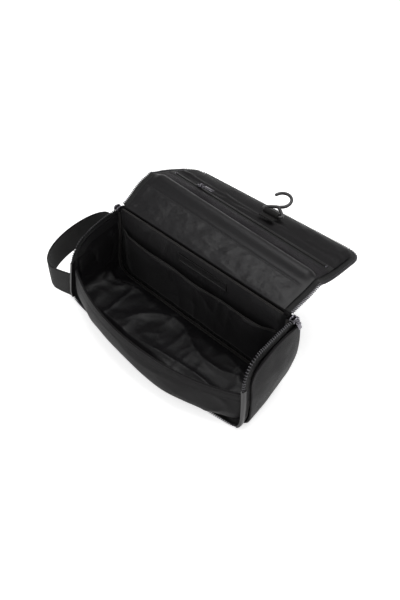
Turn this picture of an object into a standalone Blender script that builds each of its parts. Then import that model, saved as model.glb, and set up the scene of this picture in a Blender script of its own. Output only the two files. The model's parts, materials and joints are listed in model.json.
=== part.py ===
"""Hanging toiletry bag, standing open on its base.

Frame: metres, +X along the width, +Y to the back, +Z up, origin at the middle of the flat base.
The body is a soft box: a gusset band (left end, base, right end), a back panel and a low front
wall.  A lid is hinged on the back panel's top edge, and a flap with the hook is hinged on the lid.
Every shell is a layered sandwich: outer fabric, foam, lining.
"""
import math

import bmesh
import bpy
from mathutils import Matrix, Vector

MM = 0.001
GAP = 0.3 * MM

# Body, measured over the zip teeth.
WIDTH = 270 * MM
BACK_Y = 40 * MM
FRONT_Y = -36 * MM
BACK_HEIGHT = 108 * MM
FRONT_HEIGHT = 86 * MM
BASE_CORNER = 24 * MM
TOP_CORNER = 22 * MM

# How far the open bag relaxes from a true box.
FLARE = 11 * MM
FRONT_LEAN = 9 * MM
BASE_BOW = 6 * MM
WALL_BELLY = 27 * MM

# Layers, measured inwards from the outer face.
OUTER = (0.0, 1.0 * MM)
FOAM = (1.3 * MM, 2.9 * MM)
LINING = (3.2 * MM, 4.0 * MM)
WALL = 4.5 * MM

# Zip, measured outwards from the fabric's edge.
TAPE = (GAP, 6.3 * MM)
TEETH = (6.6 * MM, 9.0 * MM)
TAPE_DEPTH = (1.8 * MM, 2.6 * MM)
TEETH_DEPTH = (1.2 * MM, 3.2 * MM)
FACING_WIDTH = 12 * MM
ZIP_EDGE = TEETH[1]

# Front wall.
WALL_FOOT = 4.6 * MM
RIM_MIDDLE = 50 * MM
RIM_END = 58 * MM

# Lid and flap, measured from their hinge lines.
HINGE = Vector((0.0, 38.5 * MM, 113 * MM))
LID_LENGTH = 60 * MM
LID_ANGLE = math.radians(14)
FLAP_LENGTH = 87 * MM
FLAP_ANGLE = math.radians(-19)
HINGE_CLEARANCE = 3.5 * MM
PIPING_RADIUS = 2.0 * MM
PIPING_HALF = 126 * MM
BINDING_TOP = 97 * MM
SLIP_POCKET_HALF = 121 * MM
FLAP_CORNER = 15 * MM
FOLD = HINGE + LID_LENGTH * Vector((0.0, math.cos(LID_ANGLE), math.sin(LID_ANGLE)))

# Mesh pocket on the flap, measured from the fold.
MESH_SPAN = (6 * MM, 26 * MM)
POCKET_TAPE_SPAN = (26.4 * MM, 36.4 * MM)
POCKET_COIL_SPAN = (30 * MM, 33 * MM)
POCKET_ZIP_LINE = 31.5 * MM
POCKET_COIL_HALF = 116 * MM
POCKET_STOP_X = 118.6 * MM
MESH_PUFF = 5 * MM
POCKET_SLIDER_X = -76 * MM
POCKET_PIN_HEIGHT = 9.2 * MM
BODY_PIN_HEIGHT = 6.6 * MM

# Hook, in its own plane from the bar through the apex to the ring.
HOOK_CENTRE_X = 20.0 * MM
HOOK_RISE = math.radians(10)
HOOK_ROD = 1.8 * MM
HOOK_HALF_BAR = 14 * MM
HOOK_SHOULDER = (13 * MM, 4.5 * MM)
HOOK_APEX = 12.5 * MM
HOOK_RING = 11.5 * MM
HOOK_ALONG_FLAP = 52 * MM
HOOK_ABOVE_FLAP = 7.5 * MM
TAB_HALF_WIDTH = 10.5 * MM

# Handle on the left end.
STRAP_WIDTH = 38 * MM
STRAP_THICKNESS = 1.6 * MM
STRAP_TOP = (92 * MM, 42 * MM)
STRAP_PLAN = (Vector((-138.5, 33.0, 0)) * MM, Vector((-180.5, 57.0, 0)) * MM,
              Vector((-213.5, -85.0, 0)) * MM, Vector((-147.5, -40.0, 0)) * MM)


def fabric_colour(grey, tint=0.0):
    """Return a dark cloth colour, a little warmer for a positive tint."""
    return (grey + tint, grey, grey + tint * 0.5)


FINISHES = {
    "outer_fabric": (fabric_colour(0.020, 0.002), 0.72, 0.0),
    "foam": ((0.10, 0.10, 0.10), 0.95, 0.0),
    "satin_lining": (fabric_colour(0.016), 0.38, 0.0),
    "webbing": (fabric_colour(0.028), 0.80, 0.0),
    "binding_tape": (fabric_colour(0.022, 0.002), 0.78, 0.0),
    "zip_tape": (fabric_colour(0.018), 0.80, 0.0),
    "zip_teeth": ((0.24, 0.24, 0.25), 0.35, 0.9),
    "zip_coil": ((0.02, 0.02, 0.02), 0.45, 0.0),
    "gunmetal": ((0.30, 0.30, 0.31), 0.28, 1.0),
    "mesh": (fabric_colour(0.040, 0.004), 0.75, 0.0),
    "patch": ((0.022, 0.022, 0.023), 0.55, 0.0),
    "hook_plastic": ((0.045, 0.045, 0.047), 0.42, 0.0),
}


def finish(name):
    """Return the material of that name, made on first use."""
    material = bpy.data.materials.get(name)
    if material is None:
        colour, roughness, metallic = FINISHES[name]
        material = bpy.data.materials.new(name)
        material.use_nodes = True
        shader = material.node_tree.nodes["Principled BSDF"]
        shader.inputs["Base Color"].default_value = (*colour, 1.0)
        shader.inputs["Roughness"].default_value = roughness
        shader.inputs["Metallic"].default_value = metallic
    return material


def add_object(name, mesh_data, finish_name, origin=Vector()):
    """Link a bmesh as an object whose origin sits at the given point."""
    bmesh.ops.remove_doubles(mesh_data, verts=mesh_data.verts, dist=1e-7)
    bmesh.ops.recalc_face_normals(mesh_data, faces=mesh_data.faces)
    bmesh.ops.translate(mesh_data, verts=mesh_data.verts, vec=-origin)
    mesh = bpy.data.meshes.new(name)
    mesh_data.to_mesh(mesh)
    mesh_data.free()
    mesh.materials.append(finish(finish_name))
    item = bpy.data.objects.new(name, mesh)
    item.location = origin
    bpy.context.collection.objects.link(item)
    mesh.shade_smooth()
    mesh.set_sharp_from_angle(angle=math.radians(35))
    return item


def add_grid(mesh_data, rows, flip=False):
    """Add a sheet of triangles over rows of points and return its vertices.

    Every cell is cut along the same diagonal, so neighbouring layers keep their gap.
    """
    verts = [[mesh_data.verts.new(point) for point in row] for row in rows]
    for low, high in zip(verts, verts[1:]):
        for a, b, c, d in zip(low, low[1:], high[1:], high):
            mesh_data.faces.new((c, b, a) if flip else (a, b, c))
            mesh_data.faces.new((d, c, a) if flip else (a, c, d))
    return verts


def shell(name, outer_rows, inner_rows, finish_name, origin=Vector()):
    """Close two matching point grids into one thin solid."""
    mesh_data = bmesh.new()
    outer = add_grid(mesh_data, outer_rows)
    inner = add_grid(mesh_data, inner_rows, flip=True)

    def rim(grid):
        last = len(grid) - 1
        bottom = grid[0]
        right = [row[-1] for row in grid[1:]]
        top = list(reversed(grid[last][:-1]))
        left = [row[0] for row in reversed(grid[1:last])]
        return bottom + right + top + left

    outer_rim, inner_rim = rim(outer), rim(inner)
    count = len(outer_rim)
    for i in range(count):
        j = (i + 1) % count
        mesh_data.faces.new((outer_rim[j], outer_rim[i], inner_rim[i], inner_rim[j]))
    return add_object(name, mesh_data, finish_name, origin)


def sweep(mesh_data, rings, closed=False):
    """Skin a list of equal rings of points, with flat ends unless closed."""
    verts = [[mesh_data.verts.new(point) for point in ring] for ring in rings]
    pairs = list(zip(verts, verts[1:] + verts[:1])) if closed else list(zip(verts, verts[1:]))
    for low, high in pairs:
        count = len(low)
        for i in range(count):
            j = (i + 1) % count
            mesh_data.faces.new((low[i], low[j], high[j], high[i]))
    if not closed:
        mesh_data.faces.new(list(reversed(verts[0])))
        mesh_data.faces.new(verts[-1])


def relax(point):
    """Let the open body spread: the foot flares, leans forward and bows."""
    low = max(0.0, 1.0 - point.z / FRONT_HEIGHT)
    front = (BACK_Y - point.y) / (BACK_Y - FRONT_Y)
    across = min(1.0, abs(point.x) / (WIDTH / 2))
    spread = 1.0 + FLARE / (WIDTH / 2) * low * min(1.0, front)
    bow = BASE_BOW * (1.0 - across ** 2) * low
    return Vector((point.x * spread, point.y - front * (FRONT_LEAN * low + bow), point.z))


TOP_SLOPE = math.atan2(BACK_HEIGHT - FRONT_HEIGHT, BACK_Y - FRONT_Y)
FABRIC_FRONT = FRONT_Y + ZIP_EDGE
FABRIC_BACK = BACK_Y - WALL
FABRIC_DROP = ZIP_EDGE / math.cos(TOP_SLOPE)


def fabric_top_height(y):
    """Height of the end panel's straight fabric edge at depth y."""
    return FRONT_HEIGHT - FABRIC_DROP + (y - FRONT_Y) * math.tan(TOP_SLOPE)


def corner_centre():
    """Centre (y, z) of the end panel's round front-top corner."""
    y = FABRIC_FRONT + TOP_CORNER
    return y, fabric_top_height(y) - TOP_CORNER / math.cos(TOP_SLOPE)


def lowered_top(y, z, drop):
    """Height at depth y of the end panel's edge when it is set back by drop."""
    if drop == 0.0:
        return z
    centre_y, centre_z = corner_centre()
    radius = TOP_CORNER - drop
    if y > centre_y:
        return z - drop / math.cos(TOP_SLOPE)
    rise = radius ** 2 - (centre_y - y) ** 2
    return centre_z - GAP + math.sqrt(max(0.0, rise))


def end_edge():
    """Points (y, z) and outward directions of an end panel's free edge, front to back."""
    corner_y, corner_z = corner_centre()
    edge = []
    arc_steps = 8
    for k in range(arc_steps + 1):
        theta = math.pi + (TOP_SLOPE - math.pi / 2) * k / arc_steps
        out = (math.cos(theta), math.sin(theta))
        edge.append(((corner_y + TOP_CORNER * out[0], corner_z + TOP_CORNER * out[1]), out))
    start = edge[-1][0][0]
    line_steps = 5
    out = (-math.sin(TOP_SLOPE), math.cos(TOP_SLOPE))
    for k in range(1, line_steps + 1):
        y = start + (FABRIC_BACK - start) * k / line_steps
        edge.append(((y, fabric_top_height(y)), out))
    return edge


def band_profile(top, depth, half_width=WIDTH / 2):
    """Points and outward normals of the U of the gusset, left top to right top."""
    side_steps, arc_steps, base_steps = 4, 5, 6
    half = half_width
    profile = []
    for k in range(side_steps):
        z = top + (BASE_CORNER - top) * k / side_steps
        profile.append((Vector((-half, 0, z)), Vector((-1, 0, 0))))
    for k in range(arc_steps + 1):
        angle = math.pi + math.pi / 2 * k / arc_steps
        normal = Vector((math.cos(angle), 0, math.sin(angle)))
        centre = Vector((-half + BASE_CORNER, 0, BASE_CORNER))
        profile.append((centre + BASE_CORNER * normal, normal))
    for k in range(1, base_steps // 2):
        x = (-half + BASE_CORNER) * (1 - 2 * k / base_steps)
        profile.append((Vector((x, 0, 0)), Vector((0, 0, -1))))
    profile.append((Vector((0, 0, 0)), Vector((0, 0, -1))))
    for point, normal in reversed(profile[:-1]):
        profile.append((Vector((-point.x, 0, point.z)), Vector((-normal.x, 0, normal.z))))
    return [point - depth * normal for point, normal in profile]


def gusset_layer(name, layer, finish_name, edge_drop=0.0):
    """One layer of the gusset band, a U that follows the end panels' sloping top."""
    grids = []
    for depth in layer:
        rows = []
        for (y, z), _ in end_edge():
            top = lowered_top(y, z, edge_drop)
            rows.append([relax(p + Vector((0, y, 0))) for p in band_profile(top, depth)])
        grids.append(rows)
    return shell(name, grids[0], grids[1], finish_name)


def free_edge_frames():
    """Frames (point, outward in the panel, outward normal) round the body's whole zip edge."""
    left = []
    for (y, z), (out_y, out_z) in reversed(end_edge()):
        left.append((Vector((-WIDTH / 2, y, z)), Vector((0, out_y, out_z)), Vector((-1, 0, 0))))
    front_top = left[-1][0].z
    forward = Vector((0, -1, 0))
    profile = band_profile(front_top, 0.0)
    inner = band_profile(front_top, 1.0)
    middle = []
    for point, inside in list(zip(profile, inner))[1:-1]:
        normal = (point - inside).normalized()
        middle.append((point + Vector((0, FABRIC_FRONT, 0)), forward, normal))
    mirror = Matrix.Scale(-1, 4, Vector((1, 0, 0)))
    right = [(mirror @ p, mirror @ e, mirror @ n) for p, e, n in reversed(left)]
    return left + middle + right


def edge_strip(name, frames, along, depth, finish_name):
    """A flat strip that follows edge frames, from along[0] to along[1] beyond the edge."""
    rings = []
    for point, out, normal in frames:
        ring = []
        for e, d in ((along[0], depth[0]), (along[1], depth[0]),
                     (along[1], depth[1]), (along[0], depth[1])):
            corner = point + e * out - d * normal
            corner.y = min(corner.y, FABRIC_BACK)
            ring.append(relax(corner))
        rings.append(ring)
    mesh_data = bmesh.new()
    sweep(mesh_data, rings)
    return add_object(name, mesh_data, finish_name)


def prism(name, outline, place, low, high, finish_name, origin=Vector()):
    """Extrude a convex or simple outline of (a, b) between two heights of a local frame."""
    mesh_data = bmesh.new()
    sweep(mesh_data, [[place(a, b, h) for a, b in outline] for h in (low, high)])
    return add_object(name, mesh_data, finish_name, origin)


def rounded_outline(half_width, start, end, radius, steps=5):
    """Outline (x, along) of a panel whose two far corners are round."""
    points = [(-half_width, start), (half_width, start)]
    for sign in (1, -1):
        for k in range(steps + 1):
            angle = math.pi / 2 * k / steps if sign > 0 else math.pi / 2 * (1 + k / steps)
            centre = (sign * (half_width - radius), end - radius)
            points.append((centre[0] + radius * math.cos(angle),
                           centre[1] + radius * math.sin(angle)))
    return points


def panel_place(origin, angle):
    """Return a function that places (x, along, height) in a tilted panel's frame."""
    along = Vector((0, math.cos(angle), math.sin(angle)))
    height = Vector((0, -math.sin(angle), math.cos(angle)))
    return lambda x, a, h: origin + Vector((x, 0, 0)) + a * along + h * height


def tube_between(mesh_data, start, end, radius, sides=10):
    """Add a capped round rod between two points."""
    axis = (end - start).normalized()
    side = axis.orthogonal().normalized()
    other = axis.cross(side)
    rings = []
    for centre in (start, end):
        ring = []
        for k in range(sides):
            angle = 2 * math.pi * k / sides
            ring.append(centre + radius * (math.cos(angle) * side + math.sin(angle) * other))
        rings.append(ring)
    sweep(mesh_data, rings)


def rod(name, start, end, radius, finish_name, origin=Vector(), sides=10):
    """A single round rod as its own node."""
    mesh_data = bmesh.new()
    tube_between(mesh_data, start, end, radius, sides)
    return add_object(name, mesh_data, finish_name, origin)


def build_gusset():
    """Gusset band with its facings, zip tape, teeth and stops."""
    gusset_layer("gusset_outer", OUTER, "outer_fabric")
    gusset_layer("gusset_foam", FOAM, "foam")
    gusset_layer("gusset_lining", LINING, "satin_lining", FACING_WIDTH + 3 * GAP)
    frames = free_edge_frames()
    edge_strip("body_zip_tape", frames, TAPE, TAPE_DEPTH, "zip_tape")
    edge_strip("body_zip_teeth", frames, TEETH, TEETH_DEPTH, "zip_teeth")
    top = len(end_edge())
    edge_strip("facing_left", frames[:top], (-FACING_WIDTH, -GAP), LINING, "outer_fabric")
    edge_strip("facing_right", frames[-top:], (-FACING_WIDTH, -GAP), LINING, "outer_fabric")


def build_back():
    """Back panel layers, seam binding, slip pocket and blank patch."""
    top = HINGE.z - HINGE_CLEARANCE

    def place(x, z, y):
        return Vector((x, y, z))

    def outline(inset):
        return [(p.x, p.z) for p in band_profile(top, inset)]

    prism("back_outer", outline(0.0), place, BACK_Y - 1.0 * MM, BACK_Y, "outer_fabric")
    prism("back_foam", outline(1.3 * MM), place, BACK_Y - 2.9 * MM, BACK_Y - 1.3 * MM, "foam")
    prism("back_lining", outline(3.2 * MM), place, BACK_Y - 4.0 * MM, BACK_Y - 3.2 * MM,
          "satin_lining")

    binding_top = BINDING_TOP
    inner = band_profile(binding_top, 6.0 * MM)
    outer = band_profile(binding_top, WALL)
    near, far = FABRIC_BACK - 6.5 * MM, FABRIC_BACK - 0.5 * MM
    rings = []
    for a, b in zip(outer, inner):
        rings.append([Vector((a.x, near, a.z)), Vector((a.x, far, a.z)),
                      Vector((b.x, far, b.z)), Vector((b.x, near, b.z))])
    mesh_data = bmesh.new()
    sweep(mesh_data, rings)
    add_object("back_seam_binding", mesh_data, "binding_tape")

    pocket_y = (29.0 * MM, 29.8 * MM)
    pocket_top = 80 * MM
    half = SLIP_POCKET_HALF
    foot = 11 * MM
    corner = 12 * MM
    shape = [(x, -z) for x, z in rounded_outline(half, -pocket_top, -foot, corner)]
    prism("slip_pocket", shape, place, *pocket_y, "satin_lining")
    hem = [(-half, pocket_top + GAP), (half, pocket_top + GAP),
           (half, pocket_top + 3.5 * MM), (-half, pocket_top + 3.5 * MM)]
    prism("slip_pocket_hem", hem, place, pocket_y[0] - 0.3 * MM, pocket_y[1] + 0.3 * MM,
          "binding_tape")
    patch = [(-24 * MM, 90 * MM), (50 * MM, 90 * MM), (50 * MM, 102 * MM), (-24 * MM, 102 * MM)]
    prism("blank_patch", patch, place, BACK_Y - 5.5 * MM, BACK_Y - 4.3 * MM, "patch")
    rod("hinge_piping", HINGE - Vector((PIPING_HALF, 0, 0)), HINGE + Vector((PIPING_HALF, 0, 0)),
        PIPING_RADIUS, "binding_tape")


def wall_surface(depth):
    """Rows of the low front wall's bellied sheet, set inwards by depth."""
    across, up = 18, 8
    half_inner = WIDTH / 2 - WALL
    arc = BASE_CORNER - WALL

    def half_at(z):
        if z >= BASE_CORNER:
            return half_inner
        rise = max(0.0, arc ** 2 - (BASE_CORNER - z) ** 2)
        return half_inner - arc + math.sqrt(rise)

    def sheet(u, v):
        level = WALL_FOOT + 0.2 * MM + v * (RIM_END - WALL_FOOT)
        rim = RIM_MIDDLE + (RIM_END - RIM_MIDDLE) * u * u
        x = u * half_at(level)
        z = WALL_FOOT + 0.2 * MM + v * (rim - WALL_FOOT)
        belly = WALL_BELLY * (1 - u * u) ** 0.9 * (1 - (1 - v) ** 3.2)
        return relax(Vector((x, FABRIC_FRONT + 1.5 * MM - belly, z)))

    rows = []
    for j in range(up + 1):
        row = []
        for i in range(across + 1):
            u, v = -1 + 2 * i / across, j / up
            step = 0.01
            du = sheet(min(1, u + step), v) - sheet(max(-1, u - step), v)
            dv = sheet(u, min(1, v + step)) - sheet(u, max(0, v - step))
            normal = du.cross(dv).normalized()
            row.append(sheet(u, v) - depth * normal)
        rows.append(row)
    return rows


def build_front_wall():
    """Low bellied front wall and the hem along its rim."""
    shell("front_wall_outer", wall_surface(0.0), wall_surface(1.0 * MM), "outer_fabric")
    shell("front_wall_lining", wall_surface(1.3 * MM), wall_surface(2.0 * MM), "satin_lining")
    outer, inner = wall_surface(-0.4 * MM)[-1], wall_surface(2.4 * MM)[-1]
    rings = []
    for a, b in list(zip(outer, inner))[1:-1]:
        low, high = Vector((0, 0, 0.5 * MM)), Vector((0, 0, 2.9 * MM))
        rings.append([a + low, a + high, b + high, b + low])
    mesh_data = bmesh.new()
    sweep(mesh_data, rings)
    add_object("front_rim_hem", mesh_data, "outer_fabric")


def build_lid():
    """Lid sandwich with its side zips and the piping on its fold."""
    place = panel_place(HINGE, LID_ANGLE)
    half = WIDTH / 2 - ZIP_EDGE
    start, end = HINGE_CLEARANCE, LID_LENGTH - HINGE_CLEARANCE
    plate = [(-half, start), (half, start), (half, end), (-half, end)]
    prism("lid_outer", plate, place, -2.0 * MM, -1.0 * MM, "outer_fabric", HINGE)
    prism("lid_foam", plate, place, -0.7 * MM, 0.9 * MM, "foam", HINGE)
    prism("lid_lining", plate, place, 1.2 * MM, 2.0 * MM, "satin_lining", HINGE)
    for side, sign in (("left", -1), ("right", 1)):
        for part, span, depth, colour in (("tape", TAPE, 0.4, "zip_tape"),
                                          ("teeth", TEETH, 1.0, "zip_teeth")):
            low, high = sorted((sign * (half + span[0]), sign * (half + span[1])))
            strip = [(low, start), (high, start), (high, end), (low, end)]
            prism(f"lid_zip_{part}_{side}", strip, place, -depth * MM, depth * MM, colour, HINGE)
    rod("fold_piping", FOLD - Vector((PIPING_HALF, 0, 0)), FOLD + Vector((PIPING_HALF, 0, 0)),
        PIPING_RADIUS, "binding_tape", HINGE)


def build_flap():
    """Flap sandwich, mesh pocket with its zip, facing, zip edge and hook tab."""
    place = panel_place(FOLD, FLAP_ANGLE)
    half = WIDTH / 2 - ZIP_EDGE
    start, end = HINGE_CLEARANCE, FLAP_LENGTH - ZIP_EDGE
    plate = rounded_outline(half, start, end, FLAP_CORNER)
    prism("flap_outer", plate, place, -1.9 * MM, -0.9 * MM, "outer_fabric", FOLD)
    prism("flap_foam", plate, place, -0.6 * MM, 0.6 * MM, "foam", FOLD)
    prism("flap_backing", plate, place, 0.9 * MM, 1.6 * MM, "satin_lining", FOLD)
    build_flap_zip(place, half, start, end)
    build_mesh_pocket(place, half)

    facing_start = POCKET_TAPE_SPAN[1] + GAP
    facing = rounded_outline(half, facing_start, end, FLAP_CORNER)
    prism("flap_facing", facing, place, 1.9 * MM, 2.7 * MM, "outer_fabric", FOLD)
    build_hook_tab(place)


def build_flap_zip(place, half, start, end):
    """Zip tape and teeth on the flap's three free sides."""
    edge = [((half, start), (1.0, 0.0))]
    steps = 6
    for sign in (1, -1):
        for k in range(steps + 1):
            angle = math.pi / 2 * k / steps if sign > 0 else math.pi / 2 * (1 + k / steps)
            out = (math.cos(angle), math.sin(angle))
            centre = (sign * (half - FLAP_CORNER), end - FLAP_CORNER)
            edge.append(((centre[0] + FLAP_CORNER * out[0],
                          centre[1] + FLAP_CORNER * out[1]), out))
    edge.append(((-half, start), (-1.0, 0.0)))
    for part, span, depth, colour in (("tape", TAPE, 0.4 * MM, "zip_tape"),
                                      ("teeth", TEETH, 1.0 * MM, "zip_teeth")):
        rings = []
        for (x, a), (out_x, out_a) in edge:
            corners = ((span[0], -depth), (span[1], -depth), (span[1], depth), (span[0], depth))
            rings.append([place(x + e * out_x, a + e * out_a, h) for e, h in corners])
        mesh_data = bmesh.new()
        sweep(mesh_data, rings)
        add_object(f"flap_zip_{part}", mesh_data, colour, FOLD)


def build_mesh_pocket(place, half):
    """Puffed mesh pocket and its coil zip with a slider and a puller."""
    base = 1.9 * MM
    sheet = 0.8 * MM
    across, along = 16, 6
    grids = []
    for level in (1, 0):
        rows = []
        for j in range(along + 1):
            row = []
            for i in range(across + 1):
                u, v = -1 + 2 * i / across, j / along
                puff = MESH_PUFF * (1 - u ** 4) * 4 * v * (1 - v)
                height = base + level * (sheet + puff)
                a = MESH_SPAN[0] + v * (MESH_SPAN[1] - MESH_SPAN[0])
                row.append(place(u * half, a, height))
            rows.append(row)
        grids.append(rows)
    shell("mesh_pocket", grids[0], grids[1], "mesh", FOLD)

    def bar(name, half_width, span, low, high, colour, middle=0.0):
        outline = [(middle - half_width, span[0]), (middle + half_width, span[0]),
                   (middle + half_width, span[1]), (middle - half_width, span[1])]
        return prism(name, outline, place, low, high, colour, FOLD)

    bar("pocket_zip_tape", half, POCKET_TAPE_SPAN, 1.9 * MM, 2.5 * MM, "zip_tape")
    bar("pocket_zip_coil", POCKET_COIL_HALF, POCKET_COIL_SPAN, 2.8 * MM, 4.0 * MM, "zip_coil")
    for side, sign in (("left", -1), ("right", 1)):
        span = (POCKET_ZIP_LINE - 2 * MM, POCKET_ZIP_LINE + 2 * MM)
        bar(f"pocket_zip_stop_{side}", 2 * MM, span, 2.8 * MM, 4.2 * MM, "gunmetal",
            sign * POCKET_STOP_X)

    def along_zip(x, a, h):
        return place(POCKET_SLIDER_X + x, POCKET_ZIP_LINE + a, h)

    build_slider("pocket_slider", along_zip, along_zip(0, 0, 0), 5.0 * MM, 3.6 * MM, (4.3 * MM, 6.3 * MM))
    pin = along_zip(3.5 * MM, 0, POCKET_PIN_HEIGHT)
    tilt = panel_place(pin, FLAP_ANGLE)
    build_puller("pocket_puller", tilt, pin, 16 * MM, 3.2 * MM)


def build_slider(name, place, origin, half_long, half_wide, span):
    """A slider body with its lug, long side along local x."""
    mesh_data = bmesh.new()
    nose = 0.6 * half_wide
    outline = [(-half_long, -nose), (-0.3 * half_long, -half_wide), (half_long, -half_wide),
               (half_long, half_wide), (-0.3 * half_long, half_wide), (-half_long, nose)]
    levels = ((span[0], 1.0), (span[1] - 0.4 * MM, 1.0), (span[1], 0.86))
    sweep(mesh_data, [[place(a * s, b * s, h) for a, b in outline] for h, s in levels])
    return add_object(name, mesh_data, "gunmetal", origin)


def build_puller(name, place, pin, length, half_wide):
    """A flat puller with an eye, reaching along local +x from its pin."""
    mesh_data = bmesh.new()
    sides = 12
    outer_eye, inner_eye = 2.6 * MM, 1.4 * MM
    half_thick = 0.6 * MM
    outer = []
    for k in range(sides):
        angle = 2 * math.pi * k / sides
        outer.append((math.cos(angle), math.sin(angle)))
    rings = []
    for h, radius in ((half_thick, outer_eye), (half_thick, inner_eye),
                      (-half_thick, inner_eye), (-half_thick, outer_eye)):
        rings.append([place(radius * c, radius * s, h) for c, s in outer])
    sweep(mesh_data, rings, closed=True)
    eye = add_object(name, mesh_data, "gunmetal", pin)
    blade_data = bmesh.new()
    root, tip = 2.0 * MM, length
    outline = [(root, -0.5 * half_wide), (0.45 * length, -0.6 * half_wide),
               (0.6 * length, -half_wide), (tip - 1 * MM, -half_wide), (tip, -0.5 * half_wide),
               (tip, 0.5 * half_wide), (tip - 1 * MM, half_wide), (0.6 * length, half_wide),
               (0.45 * length, 0.6 * half_wide), (root, 0.5 * half_wide)]
    sweep(blade_data, [[place(a, b, h) for a, b in outline]
                       for h in (-0.8 * half_thick, 0.8 * half_thick)])
    blade = add_object(name + "_blade", blade_data, "gunmetal", pin)
    union = eye.modifiers.new("join blade", "BOOLEAN")
    union.operation = "UNION"
    union.object = blade
    blade.hide_render = True
    blade.display_type = "WIRE"
    return eye


def build_hook_tab(place):
    """Webbing tab sewn on the facing and rolled round the hook's bar."""
    inner, outer = HOOK_ROD + GAP, HOOK_ROD + GAP + 1.3 * MM
    bar_a, bar_h = HOOK_ALONG_FLAP, HOOK_ABOVE_FLAP
    foot_h = 3.0 * MM
    turns = 12
    outside = [(bar_a - outer - 9 * MM, foot_h + 1.3 * MM)]
    inside = [(bar_a - outer - 9 * MM, foot_h)]
    first, last = math.radians(250), math.radians(-60)
    for k in range(turns + 1):
        angle = first + (last - first) * k / turns
        outside.append((bar_a + outer * math.cos(angle), bar_h + outer * math.sin(angle)))
        inside.append((bar_a + inner * math.cos(angle), bar_h + inner * math.sin(angle)))
    outline = outside + list(reversed(inside))
    rings = []
    for x in (HOOK_CENTRE_X - TAB_HALF_WIDTH, HOOK_CENTRE_X + TAB_HALF_WIDTH):
        rings.append([place(x, a, h) for a, h in outline])
    mesh_data = bmesh.new()
    sweep(mesh_data, rings)
    add_object("hook_tab", mesh_data, "webbing", FOLD)


def hook_route():
    """Centre line of the hook's wire in its own plane, from bar end round to the tip."""
    bar, apex = HOOK_HALF_BAR, HOOK_APEX
    ring_centre = (-3.5 * MM, apex + HOOK_RING)
    start, end = math.radians(-62), math.radians(165)
    arc = []
    steps = 20
    for k in range(steps + 1):
        angle = start + (end - start) * k / steps
        arc.append((ring_centre[0] + HOOK_RING * math.cos(angle),
                    ring_centre[1] + HOOK_RING * math.sin(angle)))
    return bar, apex, arc


def build_hook():
    """Moulded hook: a triangle whose base is the bar, and an open ring on its apex."""
    place_panel = panel_place(FOLD, FLAP_ANGLE)
    pivot = place_panel(HOOK_CENTRE_X, HOOK_ALONG_FLAP, HOOK_ABOVE_FLAP)
    up = Vector((0, math.cos(HOOK_RISE), math.sin(HOOK_RISE)))
    normal = Vector((1, 0, 0)).cross(up)

    def place(x, w):
        return pivot + Vector((x, 0, 0)) + w * up

    bar, apex, arc = hook_route()
    shoulder_x, shoulder_w = HOOK_SHOULDER
    radius = HOOK_ROD
    runs = [[(-bar, 0.0), (bar, 0.0)],
            [(-bar, 0.0), (-shoulder_x, shoulder_w), (-1.0 * MM, apex)],
            [(bar, 0.0), (shoulder_x, shoulder_w), (1.0 * MM, apex)],
            [(0.0, apex - 1.5 * MM), arc[0]] + arc[1:]]
    pieces = []
    sides = 10
    for number, run in enumerate(runs):
        mesh_data = bmesh.new()
        rings = []
        for i, (x, w) in enumerate(run):
            before, after = run[max(0, i - 1)], run[min(len(run) - 1, i + 1)]
            tangent = (place(*after) - place(*before)).normalized()
            side = tangent.cross(normal).normalized()
            ring = []
            for k in range(sides):
                angle = 2 * math.pi * (k + 0.25 * number) / sides
                ring.append(place(x, w) + radius * (1 - 0.02 * number)
                            * (math.cos(angle) * side + math.sin(angle) * normal))
            rings.append(ring)
        sweep(mesh_data, rings)
        pieces.append(add_object(f"hook_run_{number}", mesh_data, "hook_plastic", pivot))
    for x, w, size in ((-bar, 0.0, 1.12), (bar, 0.0, 1.12), (0.0, apex, 1.25),
                       (*arc[-1], 1.05)):
        mesh_data = bmesh.new()
        bmesh.ops.create_icosphere(mesh_data, subdivisions=2, radius=radius * size,
                                   matrix=Matrix.Translation(place(x, w)))
        pieces.append(add_object(f"hook_knob_{len(pieces)}", mesh_data, "hook_plastic", pivot))
    body = pieces[0]
    body.name = "hanging_hook"
    for piece in pieces[1:]:
        union = body.modifiers.new("join", "BOOLEAN")
        union.operation = "UNION"
        union.object = piece
        piece.hide_render = True
        piece.display_type = "WIRE"
    return body


def build_body_sliders():
    """The two main sliders, parked at the hinge ends of the end panels' zips."""
    slope_along = Vector((0, math.cos(TOP_SLOPE), math.sin(TOP_SLOPE)))
    slope_up = Vector((0, -math.sin(TOP_SLOPE), math.cos(TOP_SLOPE)))
    for side, sign in (("left", -1), ("right", 1)):
        y = FABRIC_BACK - 6 * MM
        out = Vector((sign, 0, 0))
        middle = Vector((sign * WIDTH / 2, y, fabric_top_height(y))) - WALL / 2 * out
        centre = middle + slope_up * (TEETH[0] + 1.2 * MM)

        def place(a, b, h, centre=centre, out=out):
            return centre - a * slope_along + b * slope_up + h * out

        build_slider(f"slider_{side}", place, centre, 5.0 * MM, 3.8 * MM, (1.6 * MM, 3.6 * MM))
        pin = place(-3.0 * MM, 0, BODY_PIN_HEIGHT)

        def hang(a, b, h, pin=pin, out=out):
            return pin - a * Vector((0, 0, 1)) - b * slope_along + h * out

        build_puller(f"puller_{side}", hang, pin, 13 * MM, 2.4 * MM)


def bezier(points, t):
    """Point at t on a cubic Bezier curve."""
    a, b, c, d = points
    return ((1 - t) ** 3 * a + 3 * t * (1 - t) ** 2 * b + 3 * t * t * (1 - t) * c + t ** 3 * d)


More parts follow.
